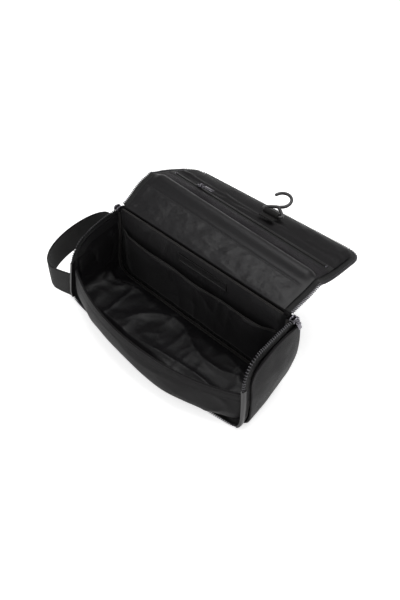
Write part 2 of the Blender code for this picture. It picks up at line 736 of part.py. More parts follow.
def build_handle():
    """Webbing loop sewn to the left end: high at the back seam, low at the front seam."""
    steps = 20
    rings = []
    for k in range(steps + 1):
        t = k / steps
        point = bezier(STRAP_PLAN, t)
        ahead, behind = bezier(STRAP_PLAN, t + 0.001), bezier(STRAP_PLAN, t - 0.001)
        outward = (ahead - behind).cross(Vector((0, 0, 1))).normalized() * STRAP_THICKNESS
        top = STRAP_TOP[0] + (STRAP_TOP[1] - STRAP_TOP[0]) * t * (0.2 + 0.8 * t * (3 - 2 * t))
        rise = Vector((0, 0, top))
        width = Vector((0, 0, STRAP_WIDTH))
        rings.append([point + rise, point + rise - width,
                      point + outward + rise - width, point + outward + rise])
    mesh_data = bmesh.new()
    sweep(mesh_data, rings)
    add_object("handle_strap", mesh_data, "webbing")


def main():
    """Clear the scene and build every node."""
    for item in list(bpy.data.objects):
        bpy.data.objects.remove(item, do_unlink=True)
    build_gusset()
    build_back()
    build_front_wall()
    build_lid()
    build_flap()
    build_hook()
    build_body_sliders()
    build_handle()


main()
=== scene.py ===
"""Looks of a hanging toiletry bag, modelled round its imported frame.

Lengths are metres in the frame's own axes: +X along the width, +Y to the back, +Z up, with the
origin in the middle of the flat base.  Cloth is a sheet laid over the bag's form.  It is lifted
into folds between its sewn edges by smooth noise that is the same on every run, and it is given
its thickness last.
"""
import json
import logging
import math
from dataclasses import dataclass, field
from enum import Enum
from typing import Callable, Iterable, Optional, Sequence

import bpy
import numpy as np
from mathutils import Matrix, Vector, noise
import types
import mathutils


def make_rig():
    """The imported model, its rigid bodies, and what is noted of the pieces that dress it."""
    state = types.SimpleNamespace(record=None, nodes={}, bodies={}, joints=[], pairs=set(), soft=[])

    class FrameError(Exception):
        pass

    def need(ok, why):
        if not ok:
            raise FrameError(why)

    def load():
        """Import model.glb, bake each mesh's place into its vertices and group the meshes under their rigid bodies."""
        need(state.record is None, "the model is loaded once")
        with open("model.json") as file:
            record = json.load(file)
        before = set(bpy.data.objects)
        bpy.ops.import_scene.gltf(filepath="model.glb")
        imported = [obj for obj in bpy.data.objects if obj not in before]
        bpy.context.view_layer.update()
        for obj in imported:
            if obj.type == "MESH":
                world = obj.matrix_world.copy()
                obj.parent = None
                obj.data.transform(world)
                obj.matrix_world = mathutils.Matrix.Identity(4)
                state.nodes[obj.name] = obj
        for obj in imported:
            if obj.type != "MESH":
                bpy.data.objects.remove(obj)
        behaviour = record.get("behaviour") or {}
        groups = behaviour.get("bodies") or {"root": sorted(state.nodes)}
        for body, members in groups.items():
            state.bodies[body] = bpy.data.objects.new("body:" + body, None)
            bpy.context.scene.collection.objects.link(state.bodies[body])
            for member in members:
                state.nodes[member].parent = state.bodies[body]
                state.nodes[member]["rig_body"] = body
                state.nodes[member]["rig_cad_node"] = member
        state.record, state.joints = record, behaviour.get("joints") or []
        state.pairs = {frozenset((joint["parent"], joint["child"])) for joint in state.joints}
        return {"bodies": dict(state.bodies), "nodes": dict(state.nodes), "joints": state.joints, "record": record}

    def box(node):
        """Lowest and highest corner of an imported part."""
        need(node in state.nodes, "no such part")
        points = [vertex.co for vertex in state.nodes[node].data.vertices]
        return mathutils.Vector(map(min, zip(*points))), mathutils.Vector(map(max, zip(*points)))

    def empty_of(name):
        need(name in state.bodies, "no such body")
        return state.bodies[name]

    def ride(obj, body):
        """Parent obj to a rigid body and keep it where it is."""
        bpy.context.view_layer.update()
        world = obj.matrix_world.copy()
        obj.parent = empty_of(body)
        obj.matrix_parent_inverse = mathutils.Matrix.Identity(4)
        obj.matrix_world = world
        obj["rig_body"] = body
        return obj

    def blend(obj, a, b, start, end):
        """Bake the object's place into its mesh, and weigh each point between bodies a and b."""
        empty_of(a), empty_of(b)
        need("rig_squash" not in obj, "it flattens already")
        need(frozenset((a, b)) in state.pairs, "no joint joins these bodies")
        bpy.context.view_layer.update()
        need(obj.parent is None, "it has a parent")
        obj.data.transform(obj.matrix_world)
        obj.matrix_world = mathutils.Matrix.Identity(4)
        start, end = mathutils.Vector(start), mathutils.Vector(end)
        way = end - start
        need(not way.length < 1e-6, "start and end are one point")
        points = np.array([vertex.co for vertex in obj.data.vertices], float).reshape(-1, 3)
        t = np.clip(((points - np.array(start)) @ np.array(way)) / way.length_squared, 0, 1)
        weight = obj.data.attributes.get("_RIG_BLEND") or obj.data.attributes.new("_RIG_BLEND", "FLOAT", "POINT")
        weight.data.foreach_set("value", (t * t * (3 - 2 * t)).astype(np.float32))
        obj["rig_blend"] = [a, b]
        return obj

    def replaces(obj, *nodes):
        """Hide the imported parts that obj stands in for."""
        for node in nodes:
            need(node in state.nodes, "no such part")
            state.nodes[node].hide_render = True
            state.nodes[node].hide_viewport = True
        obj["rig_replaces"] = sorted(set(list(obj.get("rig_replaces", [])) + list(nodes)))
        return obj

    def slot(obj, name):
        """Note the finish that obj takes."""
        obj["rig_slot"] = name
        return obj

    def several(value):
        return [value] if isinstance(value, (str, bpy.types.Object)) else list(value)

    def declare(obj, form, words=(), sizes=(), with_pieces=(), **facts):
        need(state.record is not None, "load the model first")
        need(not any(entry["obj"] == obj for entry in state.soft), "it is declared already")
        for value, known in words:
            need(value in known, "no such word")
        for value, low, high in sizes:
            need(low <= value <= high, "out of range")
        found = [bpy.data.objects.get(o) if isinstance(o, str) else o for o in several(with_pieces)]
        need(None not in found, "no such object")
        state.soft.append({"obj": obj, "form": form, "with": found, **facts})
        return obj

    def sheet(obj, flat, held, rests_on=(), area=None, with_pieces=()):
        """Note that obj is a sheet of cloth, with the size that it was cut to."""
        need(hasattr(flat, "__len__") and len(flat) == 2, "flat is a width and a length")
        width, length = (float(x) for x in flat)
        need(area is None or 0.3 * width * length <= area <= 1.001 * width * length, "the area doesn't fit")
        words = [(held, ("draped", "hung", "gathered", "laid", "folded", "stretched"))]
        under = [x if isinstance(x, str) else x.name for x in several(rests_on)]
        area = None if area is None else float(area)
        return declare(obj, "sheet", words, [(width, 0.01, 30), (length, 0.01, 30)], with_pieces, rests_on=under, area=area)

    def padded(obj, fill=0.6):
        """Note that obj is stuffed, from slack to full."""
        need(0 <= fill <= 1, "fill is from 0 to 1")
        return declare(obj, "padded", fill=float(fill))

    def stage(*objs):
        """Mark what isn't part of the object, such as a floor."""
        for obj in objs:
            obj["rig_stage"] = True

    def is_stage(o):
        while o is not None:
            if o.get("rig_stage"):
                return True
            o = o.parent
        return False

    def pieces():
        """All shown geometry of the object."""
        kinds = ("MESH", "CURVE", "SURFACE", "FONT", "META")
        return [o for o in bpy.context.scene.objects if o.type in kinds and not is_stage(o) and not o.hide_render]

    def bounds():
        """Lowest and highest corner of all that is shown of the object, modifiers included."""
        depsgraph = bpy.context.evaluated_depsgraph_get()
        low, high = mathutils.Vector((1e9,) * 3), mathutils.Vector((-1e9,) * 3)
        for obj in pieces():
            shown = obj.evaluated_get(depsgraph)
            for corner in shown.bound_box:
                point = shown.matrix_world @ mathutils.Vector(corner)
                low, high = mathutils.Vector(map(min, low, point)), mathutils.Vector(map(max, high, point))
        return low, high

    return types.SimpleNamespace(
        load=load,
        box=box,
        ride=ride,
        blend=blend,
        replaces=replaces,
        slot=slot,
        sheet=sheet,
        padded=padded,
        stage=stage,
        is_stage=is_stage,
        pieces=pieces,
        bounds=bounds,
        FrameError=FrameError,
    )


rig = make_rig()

LOG = logging.getLogger("washbag")
MM = 0.001
Array = np.ndarray
Frame = tuple[Array, Array, Array]
Surface = Callable[[Array, Array], Array]
BASE_FADE = 14 * MM
STITCH_PITCH = 3.2 * MM
STITCH_RADIUS = 0.28 * MM
WANDER_SHIFTS = (Vector((9.3, 1.5, 7.2)), Vector((3.1, 8.4, 5.6)), Vector((6.7, 4.9, 2.3)))


# --------------------------------------------------------------------------- materials

def linear(hex_colour: str) -> tuple[float, float, float, float]:
    """Turn an sRGB hex colour into a linear RGBA tuple."""
    values = [int(hex_colour[i:i + 2], 16) / 255 for i in (1, 3, 5)]
    curved = [v / 12.92 if v <= 0.04045 else ((v + 0.055) / 1.055) ** 2.4 for v in values]
    return (*curved, 1.0)


def add_node(tree: bpy.types.NodeTree, kind: str, links: Optional[dict] = None,
             **settings: object) -> bpy.types.Node:
    """Add a shader node.

    Args:
        tree: The material's node tree.
        kind: The node's type name.
        links: Input name or number to the output socket that feeds it, or to a plain value.
        settings: Attributes set on the node.

    Returns:
        The new node.
    """
    node = tree.nodes.new(kind)
    for key, value in settings.items():
        setattr(node, key, value)
    for key, value in (links or {}).items():
        if isinstance(value, bpy.types.NodeSocket):
            tree.links.new(value, node.inputs[key])
        else:
            node.inputs[key].default_value = value
    return node


def ramp(tree: bpy.types.NodeTree, source: bpy.types.NodeSocket,
         stops: Sequence[tuple[float, tuple]]) -> bpy.types.NodeSocket:
    """Map a value through a colour ramp with the given (position, colour) stops."""
    node = add_node(tree, "ShaderNodeValToRGB", {0: source})
    band = node.color_ramp
    while len(band.elements) < len(stops):
        band.elements.new(0.5)
    for element, (position, colour) in zip(band.elements, stops):
        element.position = position
        element.color = colour
    return node.outputs[0]


class Weave(Enum):
    """How a cloth's threads cross, as the pattern they leave on its face."""

    PLAIN = "plain"
    SATIN = "satin"
    RIB = "rib"
    KNIT = "knit"


@dataclass(frozen=True)
class ClothFinish:
    """A woven or knitted cloth.

    Thread pitches are drawn a little coarser than real where they would not show.
    """

    name: str
    colour: str
    light: str
    weave: Weave
    pitch: float
    roughness: float
    depth: float
    sheen: float = 0.0
    sheen_roughness: float = 0.4
    cloud: float = 0.35
    coat: float = 0.0
    gloss: float = 0.3

    def build(self) -> bpy.types.Material:
        """Build the material on the piece's own UV map, whose unit is a metre.

        Returns:
            The finished material.
        """
        material = bpy.data.materials.new(self.name)
        material.use_nodes = True
        tree = material.node_tree
        shader = tree.nodes["Principled BSDF"]
        shader.inputs["IOR"].default_value = 1.5
        shader.inputs["Specular IOR Level"].default_value = self.gloss
        shader.inputs["Sheen Weight"].default_value = self.sheen
        shader.inputs["Sheen Roughness"].default_value = self.sheen_roughness
        shader.inputs["Coat Weight"].default_value = self.coat
        shader.inputs["Coat Roughness"].default_value = 0.35
        uv = add_node(tree, "ShaderNodeTexCoord").outputs["UV"]
        place = add_node(tree, "ShaderNodeTexCoord").outputs["Object"]
        threads = self.threads(tree, uv)
        cloud = add_node(tree, "ShaderNodeTexNoise",
                         {"Vector": place, "Scale": 38.0, "Detail": 4.0, "Roughness": 0.6})
        tone = add_node(tree, "ShaderNodeMath", {0: threads, 1: 0.55}, operation="MULTIPLY")
        mixed = add_node(tree, "ShaderNodeMath",
                         {0: cloud.outputs["Fac"], 1: self.cloud, 2: tone.outputs[0]},
                         operation="MULTIPLY_ADD")
        colour = ramp(tree, mixed.outputs[0],
                      [(0.12, linear(self.colour)), (0.85, linear(self.light))])
        tree.links.new(colour, shader.inputs["Base Color"])
        rough = add_node(tree, "ShaderNodeMapRange",
                         {0: cloud.outputs["Fac"], 3: self.roughness - 0.06,
                          4: self.roughness + 0.08})
        tree.links.new(rough.outputs[0], shader.inputs["Roughness"])
        fine = add_node(tree, "ShaderNodeTexNoise",
                        {"Vector": place, "Scale": 900.0, "Detail": 2.0})
        height = add_node(tree, "ShaderNodeMath",
                          {0: fine.outputs["Fac"], 1: 0.35, 2: threads},
                          operation="MULTIPLY_ADD")
        bump = add_node(tree, "ShaderNodeBump",
                        {"Height": height.outputs[0], "Strength": self.depth,
                         "Distance": self.pitch * 0.5})
        tree.links.new(bump.outputs[0], shader.inputs["Normal"])
        return material

    def threads(self, tree: bpy.types.NodeTree,
                uv: bpy.types.NodeSocket) -> bpy.types.NodeSocket:
        """Return the height pattern of the weave, from 0 between threads to 1 on them."""
        turns = 2 * math.pi / self.pitch
        split = add_node(tree, "ShaderNodeSeparateXYZ", {0: uv})
        waves = []
        tilt = {Weave.PLAIN: 0.0, Weave.SATIN: 0.6, Weave.RIB: 0.0, Weave.KNIT: 1.0}[self.weave]
        for axis, other, sign in ((0, 1, 1.0), (1, 0, -1.0)):
            slant = add_node(tree, "ShaderNodeMath",
                             {0: split.outputs[other], 1: sign * tilt, 2: split.outputs[axis]},
                             operation="MULTIPLY_ADD")
            angle = add_node(tree, "ShaderNodeMath", {0: slant.outputs[0], 1: turns},
                             operation="MULTIPLY")
            sine = add_node(tree, "ShaderNodeMath", {0: angle.outputs[0]}, operation="SINE")
            waves.append(sine.outputs[0])
        if self.weave is Weave.RIB:
            return add_node(tree, "ShaderNodeMath", {0: waves[0], 1: 0.5, 2: 0.5},
                            operation="MULTIPLY_ADD").outputs[0]
        product = add_node(tree, "ShaderNodeMath", {0: waves[0], 1: waves[1]},
                           operation="MULTIPLY")
        return add_node(tree, "ShaderNodeMath", {0: product.outputs[0], 1: 0.5, 2: 0.5},
                        operation="MULTIPLY_ADD").outputs[0]


@dataclass(frozen=True)
class HardFinish:
    """A moulded or plated part, with faint handling marks in its gloss."""

    name: str
    colour: str
    roughness: float
    metallic: float = 0.0
    grain: float = 300.0
    bump: float = 0.05

    def build(self) -> bpy.types.Material:
        """Build the material on Object coordinates and return it."""
        material = bpy.data.materials.new(self.name)
        material.use_nodes = True
        tree = material.node_tree
        shader = tree.nodes["Principled BSDF"]
        shader.inputs["Metallic"].default_value = self.metallic
        place = add_node(tree, "ShaderNodeTexCoord").outputs["Object"]
        cloud = add_node(tree, "ShaderNodeTexNoise",
                         {"Vector": place, "Scale": self.grain, "Detail": 5.0})
        base = linear(self.colour)
        lifted = tuple(min(1.0, c * 1.35 + 0.004) for c in base[:3]) + (1.0,)
        colour = ramp(tree, cloud.outputs["Fac"], [(0.3, base), (0.75, lifted)])
        tree.links.new(colour, shader.inputs["Base Color"])
        rough = add_node(tree, "ShaderNodeMapRange",
                         {0: cloud.outputs["Fac"], 3: self.roughness - 0.07,
                          4: self.roughness + 0.10})
        tree.links.new(rough.outputs[0], shader.inputs["Roughness"])
        bump = add_node(tree, "ShaderNodeBump",
                        {"Height": cloud.outputs["Fac"], "Strength": self.bump,
                         "Distance": 0.2 * MM})
        tree.links.new(bump.outputs[0], shader.inputs["Normal"])
        return material


class Finish(Enum):
    """Every finish on the bag."""

    # Matt 600-denier polyester twill with a thin water-repellent face: soft broad highlights.
    SHELL = ClothFinish("charcoal_polyester_twill", "#040304", "#0e0b0e", Weave.PLAIN,
                        0.9 * MM, 0.58, 0.22, sheen=0.05, gloss=0.2)
    # Polyester satin: smooth floats give a long, cool sheen over almost black dye.
    SATIN = ClothFinish("black_polyester_satin", "#050405", "#0f0d11", Weave.SATIN,
                        0.6 * MM, 0.44, 0.10, sheen=0.14, gloss=0.3)
    # Nylon webbing: ribs across its length, dull on both faces.
    WEBBING = ClothFinish("ribbed_nylon_webbing", "#070606", "#151313", Weave.RIB,
                          1.3 * MM, 0.62, 0.55, sheen=0.08, gloss=0.25)
    # Grosgrain binding: fine crosswise ribs, brownish black.
    BINDING = ClothFinish("grosgrain_binding_tape", "#0c0a09", "#1d1917", Weave.RIB,
                          1.0 * MM, 0.66, 0.40, sheen=0.2)
    # Woven polyester zip tape with a fine herringbone.
    ZIP_TAPE = ClothFinish("woven_zip_tape", "#040404", "#0e0d0d", Weave.SATIN,
                           1.0 * MM, 0.60, 0.35, sheen=0.2)
    # Knitted polyester mesh: pale threads round dark holes 1.6 mm apart.
    MESH = ClothFinish("knitted_polyester_mesh", "#030203", "#39343a", Weave.KNIT,
                       1.6 * MM, 0.62, 0.9, sheen=0.05, cloud=0.15, gloss=0.2)
    # Edge strip of zip tape turned to face out, under a thin clear coat; its paler colour is a painted reflection of
    # the room's light.
    EDGE_FILM = ClothFinish("film_coated_edge_tape", "#0c0b0c", "#1e1c1d", Weave.SATIN,
                            0.8 * MM, 0.30, 0.05, coat=0.25)
    # Embossed leather-look patch, left blank.
    PATCH = ClothFinish("blank_leather_look_patch", "#050405", "#100e0f", Weave.PLAIN,
                        0.7 * MM, 0.45, 0.35, coat=0.15)
    # Bonded polyester sewing thread.
    THREAD = ClothFinish("bonded_sewing_thread", "#0e0d0e", "#201e1f", Weave.RIB,
                         0.6 * MM, 0.5, 0.5)
    # Moulded acetal teeth, glossy and hard.
    TEETH = HardFinish("black_nickel_zip_teeth", "#4e4d50", 0.28, 0.9, 900.0)
    # Extruded nylon coil.
    COIL = HardFinish("nylon_zip_coil", "#0f0e0f", 0.38, 0.0, 700.0)
    # Gunmetal plating on a zinc casting.
    GUNMETAL = HardFinish("gunmetal_plated_zinc", "#66646a", 0.24, 0.95, 250.0)
    # Moulded acetal, slightly glossy.
    HOOK = HardFinish("moulded_black_acetal", "#2b2a2b", 0.33, 0.0, 200.0)

    def material(self) -> bpy.types.Material:
        """Return the finish's material, built on first use."""
        found = bpy.data.materials.get(self.value.name)
        return found or self.value.build()


# --------------------------------------------------------------------------- mesh helpers

def unit(rows: Array) -> Array:
    """Scale each row vector to length one."""
    return rows / np.maximum(np.linalg.norm(rows, axis=-1, keepdims=True), 1e-12)


def smooth(x: Array | float) -> Array | float:
    """Ease from 0 to 1 with level ends."""
    x = np.clip(x, 0.0, 1.0)
    return x * x * (3 - 2 * x)


def turbulence(points: Array, scale: float, seed: float, octaves: int = 3) -> Array:
    """Signed fractal noise at each point, about -1 to 1."""
    shift = Vector((seed, -seed * 0.7, seed * 1.3))
    return np.array([noise.fractal(Vector(p) * scale + shift, 0.9, 2.1, octaves)
                     for p in points])


def deselect() -> None:
    """Deselect every object."""
    bpy.ops.object.select_all(action="DESELECT")


def apply_modifiers(piece: bpy.types.Object) -> None:
    """Apply every modifier of a piece, first to last."""
    deselect()
    piece.select_set(True)
    bpy.context.view_layer.objects.active = piece
    for modifier in list(piece.modifiers):
        bpy.ops.object.modifier_apply(modifier=modifier.name)
    piece.select_set(False)


def finish_piece(piece: bpy.types.Object, finish: Finish, sharp: float = 40.0) -> None:
    """Give a piece its material and its smooth shading up to an edge angle in degrees."""
    piece.data.materials.clear()
    piece.data.materials.append(finish.material())
    piece.data.shade_smooth()
    piece.data.set_sharp_from_angle(angle=math.radians(sharp))


def mesh_piece(name: str, verts: Array, faces: Iterable[Sequence[int]],
               finish: Finish, uvs: Optional[Array] = None,
               sharp: float = 40.0) -> bpy.types.Object:
    """Make a piece from vertices and faces, with one UV per vertex where given."""
    mesh = bpy.data.meshes.new(name)
    mesh.from_pydata([tuple(v) for v in verts], [], [tuple(f) for f in faces])
    mesh.update()
    if uvs is not None:
        layer = mesh.uv_layers.new(name="UVMap")
        index = np.empty(len(mesh.loops), dtype=np.int32)
        mesh.loops.foreach_get("vertex_index", index)
        layer.data.foreach_set("uv", uvs[index].astype(np.float32).ravel())
    piece = bpy.data.objects.new(name, mesh)
    bpy.context.collection.objects.link(piece)
    finish_piece(piece, finish, sharp)
    return piece


def lay_sheet(name: str, surface: Surface, cells: tuple[int, int],
              finish: Finish) -> bpy.types.Object:
    """Lay a cloth grid over a surface of u and v, each 0 to 1, with UVs in metres.

    Args:
        name: The piece's name.
        surface: Maps arrays u and v to points.
        cells: How many cells along u and v.
        finish: The cloth.

    Returns:
        The sheet, one face thick, whose normal is du x dv.
    """
    nu, nv = cells
    u, v = np.meshgrid(np.linspace(0, 1, nu + 1), np.linspace(0, 1, nv + 1))
    points = surface(u.ravel(), v.ravel())
    grid = points.reshape(nv + 1, nu + 1, 3)
    run = np.linalg.norm(np.diff(grid, axis=1), axis=2).mean(axis=0)
    rise = np.linalg.norm(np.diff(grid, axis=0), axis=2).mean(axis=1)
    across = np.concatenate([[0.0], np.cumsum(run)])
    along = np.concatenate([[0.0], np.cumsum(rise)])
    uvs = np.stack(np.meshgrid(across, along), axis=-1).reshape(-1, 2)
    index = np.arange((nu + 1) * (nv + 1)).reshape(nv + 1, nu + 1)
    faces = np.stack([index[:-1, :-1], index[:-1, 1:], index[1:, 1:], index[1:, :-1]], axis=-1)
    return mesh_piece(name, points, faces.reshape(-1, 4).tolist(), finish, uvs, 60.0)


def coordinates(piece: bpy.types.Object) -> Array:
    """Return a piece's vertex positions."""
    co = np.empty(len(piece.data.vertices) * 3)
    piece.data.vertices.foreach_get("co", co)
    return co.reshape(-1, 3)


def place_vertices(piece: bpy.types.Object, points: Array) -> None:
    """Move a piece's vertices to new positions."""
    piece.data.vertices.foreach_set("co", points.ravel())
    piece.data.update()


def rest_on_floor(piece: bpy.types.Object, sunk: float) -> None:
    """Raise a piece's base that is sunk in the floor, fading out up its sides."""
    points = coordinates(piece)
    points[:, 2] += sunk * (1 - smooth((points[:, 2] + sunk) / BASE_FADE))
    points[:, 2] = np.maximum(points[:, 2], 0.0)
    place_vertices(piece, points)


def normals(piece: bpy.types.Object) -> Array:
    """Return a piece's vertex normals."""
    out = np.empty(len(piece.data.vertices) * 3)
    piece.data.vertices.foreach_get("normal", out)
    return out.reshape(-1, 3)


def wander(place: Vector) -> Vector:
    """Smooth offset at a place, which is the same on every run."""
    return Vector([noise.noise(place + shift) for shift in WANDER_SHIFTS])


def creases(points: Array, size: float, seed: float,
            stretch: Sequence[float] = (1.0, 1.0, 1.0)) -> Array:
    """Soft folds with narrow crests, as loose cloth takes between its seams.

    Args:
        points: Where the cloth lies.
        size: Spacing of the folds.
        seed: Chooses one pattern.
        stretch: Scales the pattern along each axis, below 1 for folds that run along it.

    Returns:
        A height at each point, from about 0 to 1.
    """
    shift = Vector((seed, 2.0 * seed, -seed))
    scale = Vector(stretch) / size
    heights = []
    for row in points:
        place = Vector((row[0] * scale[0], row[1] * scale[1], row[2] * scale[2])) + shift
        place += 0.8 * wander(place * 0.6)
        broad = max(0.0, 1.0 - 2.4 * abs(noise.noise(place)))
        fine = max(0.0, 1.0 - 2.6 * abs(noise.noise(place * 2.3 + shift)))
        heights.append(0.7 * broad ** 2 + 0.3 * fine ** 2 * broad)
    return np.array(heights)


def lift_cloth(piece: bpy.types.Object, heights: Array) -> None:
    """Raise each vertex of a sheet off its form, along the sheet's own normal."""
    place_vertices(piece, coordinates(piece) + normals(piece) * heights[:, None])


def grid_uv(cells: tuple[int, int]) -> tuple[Array, Array]:
    """Return the u and v of every vertex of a sheet made with these cells."""
    nu, nv = cells
    return (np.tile(np.linspace(0, 1, nu + 1), nv + 1),
            np.repeat(np.linspace(0, 1, nv + 1), nu + 1))


def declare_sheet(piece: bpy.types.Object, held: str, rests_on: Sequence[str]) -> None:
    """Declare a cloth sheet, before it has its thickness, by the cut that its area gives."""
    mesh = piece.data
    area = sum(p.area for p in mesh.polygons)
    uv = np.array([c.uv for c in mesh.uv_layers.active.data])
    width = float(uv[:, 0].max())
    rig.sheet(piece, flat=(width, area / width), held=held, rests_on=list(rests_on))
    LOG.info("%s: flat %.0f x %.0f mm", piece.name, width / MM, area / width / MM)


def thicken(piece: bpy.types.Object, thickness: float, offset: float = -1.0,
            subdivide: int = 1) -> None:
    """Give a sheet its thickness and a soft cut edge.

    Args:
        piece: The sheet.
        thickness: The cloth's thickness.
        offset: -1 grows it behind its face, 1 in front.
        subdivide: Levels of subdivision that round the sheet and its edge.
    """
    solid = piece.modifiers.new("thickness", "SOLIDIFY")
    solid.thickness = thickness
    solid.offset = offset
    solid.use_even_offset = False
    if subdivide:
        soft = piece.modifiers.new("soft", "SUBSURF")
        soft.levels = subdivide
        soft.render_levels = subdivide
    apply_modifiers(piece)


def ribbon(name: str, frames: Sequence[Frame], along: tuple[float, float],
           depth: tuple[float, float], finish: Finish, crown: float = 0.0) -> bpy.types.Object:
    """Sweep a flat strip along edge frames.

    Args:
        name: The piece's name.
        frames: Point, direction out of the cloth's edge, and outward normal at each step.
        along: The strip's near and far sides, measured outwards from the edge.
        depth: Its outer and inner face, measured inwards from the normal side.
        finish: The strip's cloth.
        crown: How much thicker the middle of the strip is.

    Returns:
        The closed strip.
    """
    near, far = along
    top, bottom = depth
    soft = min(0.25 * (far - near), 0.6 * MM)
    middle = (near + far) / 2
    section = [(near, bottom), (near, top), (near + soft, top - 0.15 * MM),
               (middle, top - 0.15 * MM - crown), (far - soft, top - 0.15 * MM),
               (far, top), (far, bottom), (middle, bottom)]
    verts, uvs = [], []
    travel = 0.0
    previous = None
    for point, out, normal in frames:
        if previous is not None:
            travel += float(np.linalg.norm(point - previous))
        previous = point
        for e, d in section:
            verts.append(point + e * out - d * normal)
            uvs.append((travel, e))
    rings = np.array(verts).reshape(len(frames), len(section), 3)
    return loft(name, rings, np.array(uvs), finish, 50.0)


def edit_all(piece: bpy.types.Object) -> None:
    """Open a piece for editing with all of it selected."""
    deselect()
    piece.select_set(True)
    bpy.context.view_layer.objects.active = piece
    bpy.ops.object.mode_set(mode="EDIT")
    bpy.ops.mesh.select_all(action="SELECT")


def leave_edit(piece: bpy.types.Object) -> None:
    """Close a piece that was open for editing."""
    bpy.ops.object.mode_set(mode="OBJECT")
    piece.select_set(False)


def face_outwards(piece: bpy.types.Object) -> None:
    """Turn a closed mesh's faces outwards."""
    edit_all(piece)
    bpy.ops.mesh.remove_doubles(threshold=1e-7)
    bpy.ops.mesh.normals_make_consistent(inside=False)
    leave_edit(piece)


def flip_faces(piece: bpy.types.Object) -> None:
    """Turn a sheet's faces over."""
    edit_all(piece)
    bpy.ops.mesh.flip_normals()
    leave_edit(piece)


def ride(piece: bpy.types.Object, body: str, slot: str) -> None:
    """Put a piece on a body and name its material slot."""
    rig.ride(piece, body)
    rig.slot(piece, slot)


def add_flat_uvs(piece: bpy.types.Object) -> None:
    """Give a hard piece UVs in metres from its width and height."""
    mesh = piece.data
    layer = mesh.uv_layers.active or mesh.uv_layers.new(name="UVMap")
    points = coordinates(piece)
    index = np.empty(len(mesh.loops), dtype=np.int32)
    mesh.loops.foreach_get("vertex_index", index)
    layer.data.foreach_set("uv", points[index][:, (0, 2)].astype(np.float32).ravel())


def loft(name: str, rings: Array, uvs: Array, finish: Finish,
         sharp: float) -> bpy.types.Object:
    """Skin a run of closed rings and cap both ends.

    Args:
        name: The piece's name.
        rings: Points as run x ring x 3.
        uvs: One UV for each point, in metres.
        finish: What the piece is made of.
        sharp: Edge angle, in degrees, above which shading breaks.

    Returns:
        The closed piece.
    """
    total, count = rings.shape[:2]
    faces = []
    for i in range(total - 1):
        a, b = i * count, (i + 1) * count
        for k in range(count):
            n = (k + 1) % count
            faces.append((a + k, a + n, b + n, b + k))
    faces.append(tuple(reversed(range(count))))
    faces.append(tuple(range((total - 1) * count, total * count)))
    piece = mesh_piece(name, rings.reshape(-1, 3), faces, finish, uvs, sharp)
    face_outwards(piece)
    return piece


def resample(frames: Sequence[Frame], pitch: float, lead: float = 0.0) -> list[Frame]:
    """Place frames at an even pitch along a path of frames."""
    points = np.array([f[0] for f in frames])
    outs = np.array([f[1] for f in frames])
    ups = np.array([f[2] for f in frames])
    travel = np.concatenate([[0.0], np.cumsum(np.linalg.norm(np.diff(points, axis=0), axis=1))])
    stations = np.arange(lead + pitch / 2, travel[-1] - lead, pitch)

    def read(rows: Array) -> Array:
        return np.stack([np.interp(stations, travel, rows[:, k]) for k in range(3)], axis=1)

    return list(zip(read(points), unit(read(outs)), unit(read(ups))))


def round_tube(name: str, path: Array, radius: float, finish: Finish, sides: int = 12,
               flat: float = 1.0, up: Optional[Array] = None) -> bpy.types.Object:
    """Sweep a round or flattened tube with domed ends along a smooth path."""
    count = len(path)
    tangents = unit(np.gradient(path, axis=0))
    reference = np.array([0.0, 0.0, 1.0]) if up is None else up
    side = unit(np.cross(tangents, reference))
    lift = np.cross(side, tangents)
    verts: list[Array] = []
    uvs: list[tuple[float, float]] = []
    travel = np.concatenate([[0.0], np.cumsum(np.linalg.norm(np.diff(path, axis=0), axis=1))])
    dome = [(0.05, 1.0), (0.55, 0.8), (0.9, 0.42)]
    rings: list[tuple[Array, Array, Array, float, float]] = []
    for size, back in dome:
        rings.append((path[0] - tangents[0] * radius * back, side[0], lift[0], size, 0.0))
    for i in range(count):
        rings.append((path[i], side[i], lift[i], 1.0, travel[i]))
    for size, back in reversed(dome):
        rings.append((path[-1] + tangents[-1] * radius * back, side[-1], lift[-1], size,
                      travel[-1]))
    for centre, s, l, size, t in rings:
        for k in range(sides):
            angle = 2 * math.pi * k / sides
            verts.append(centre + size * radius * (math.cos(angle) * s
                                                   + flat * math.sin(angle) * l))
            uvs.append((t, radius * angle))
    return loft(name, np.array(verts).reshape(len(rings), sides, 3), np.array(uvs), finish, 60.0)


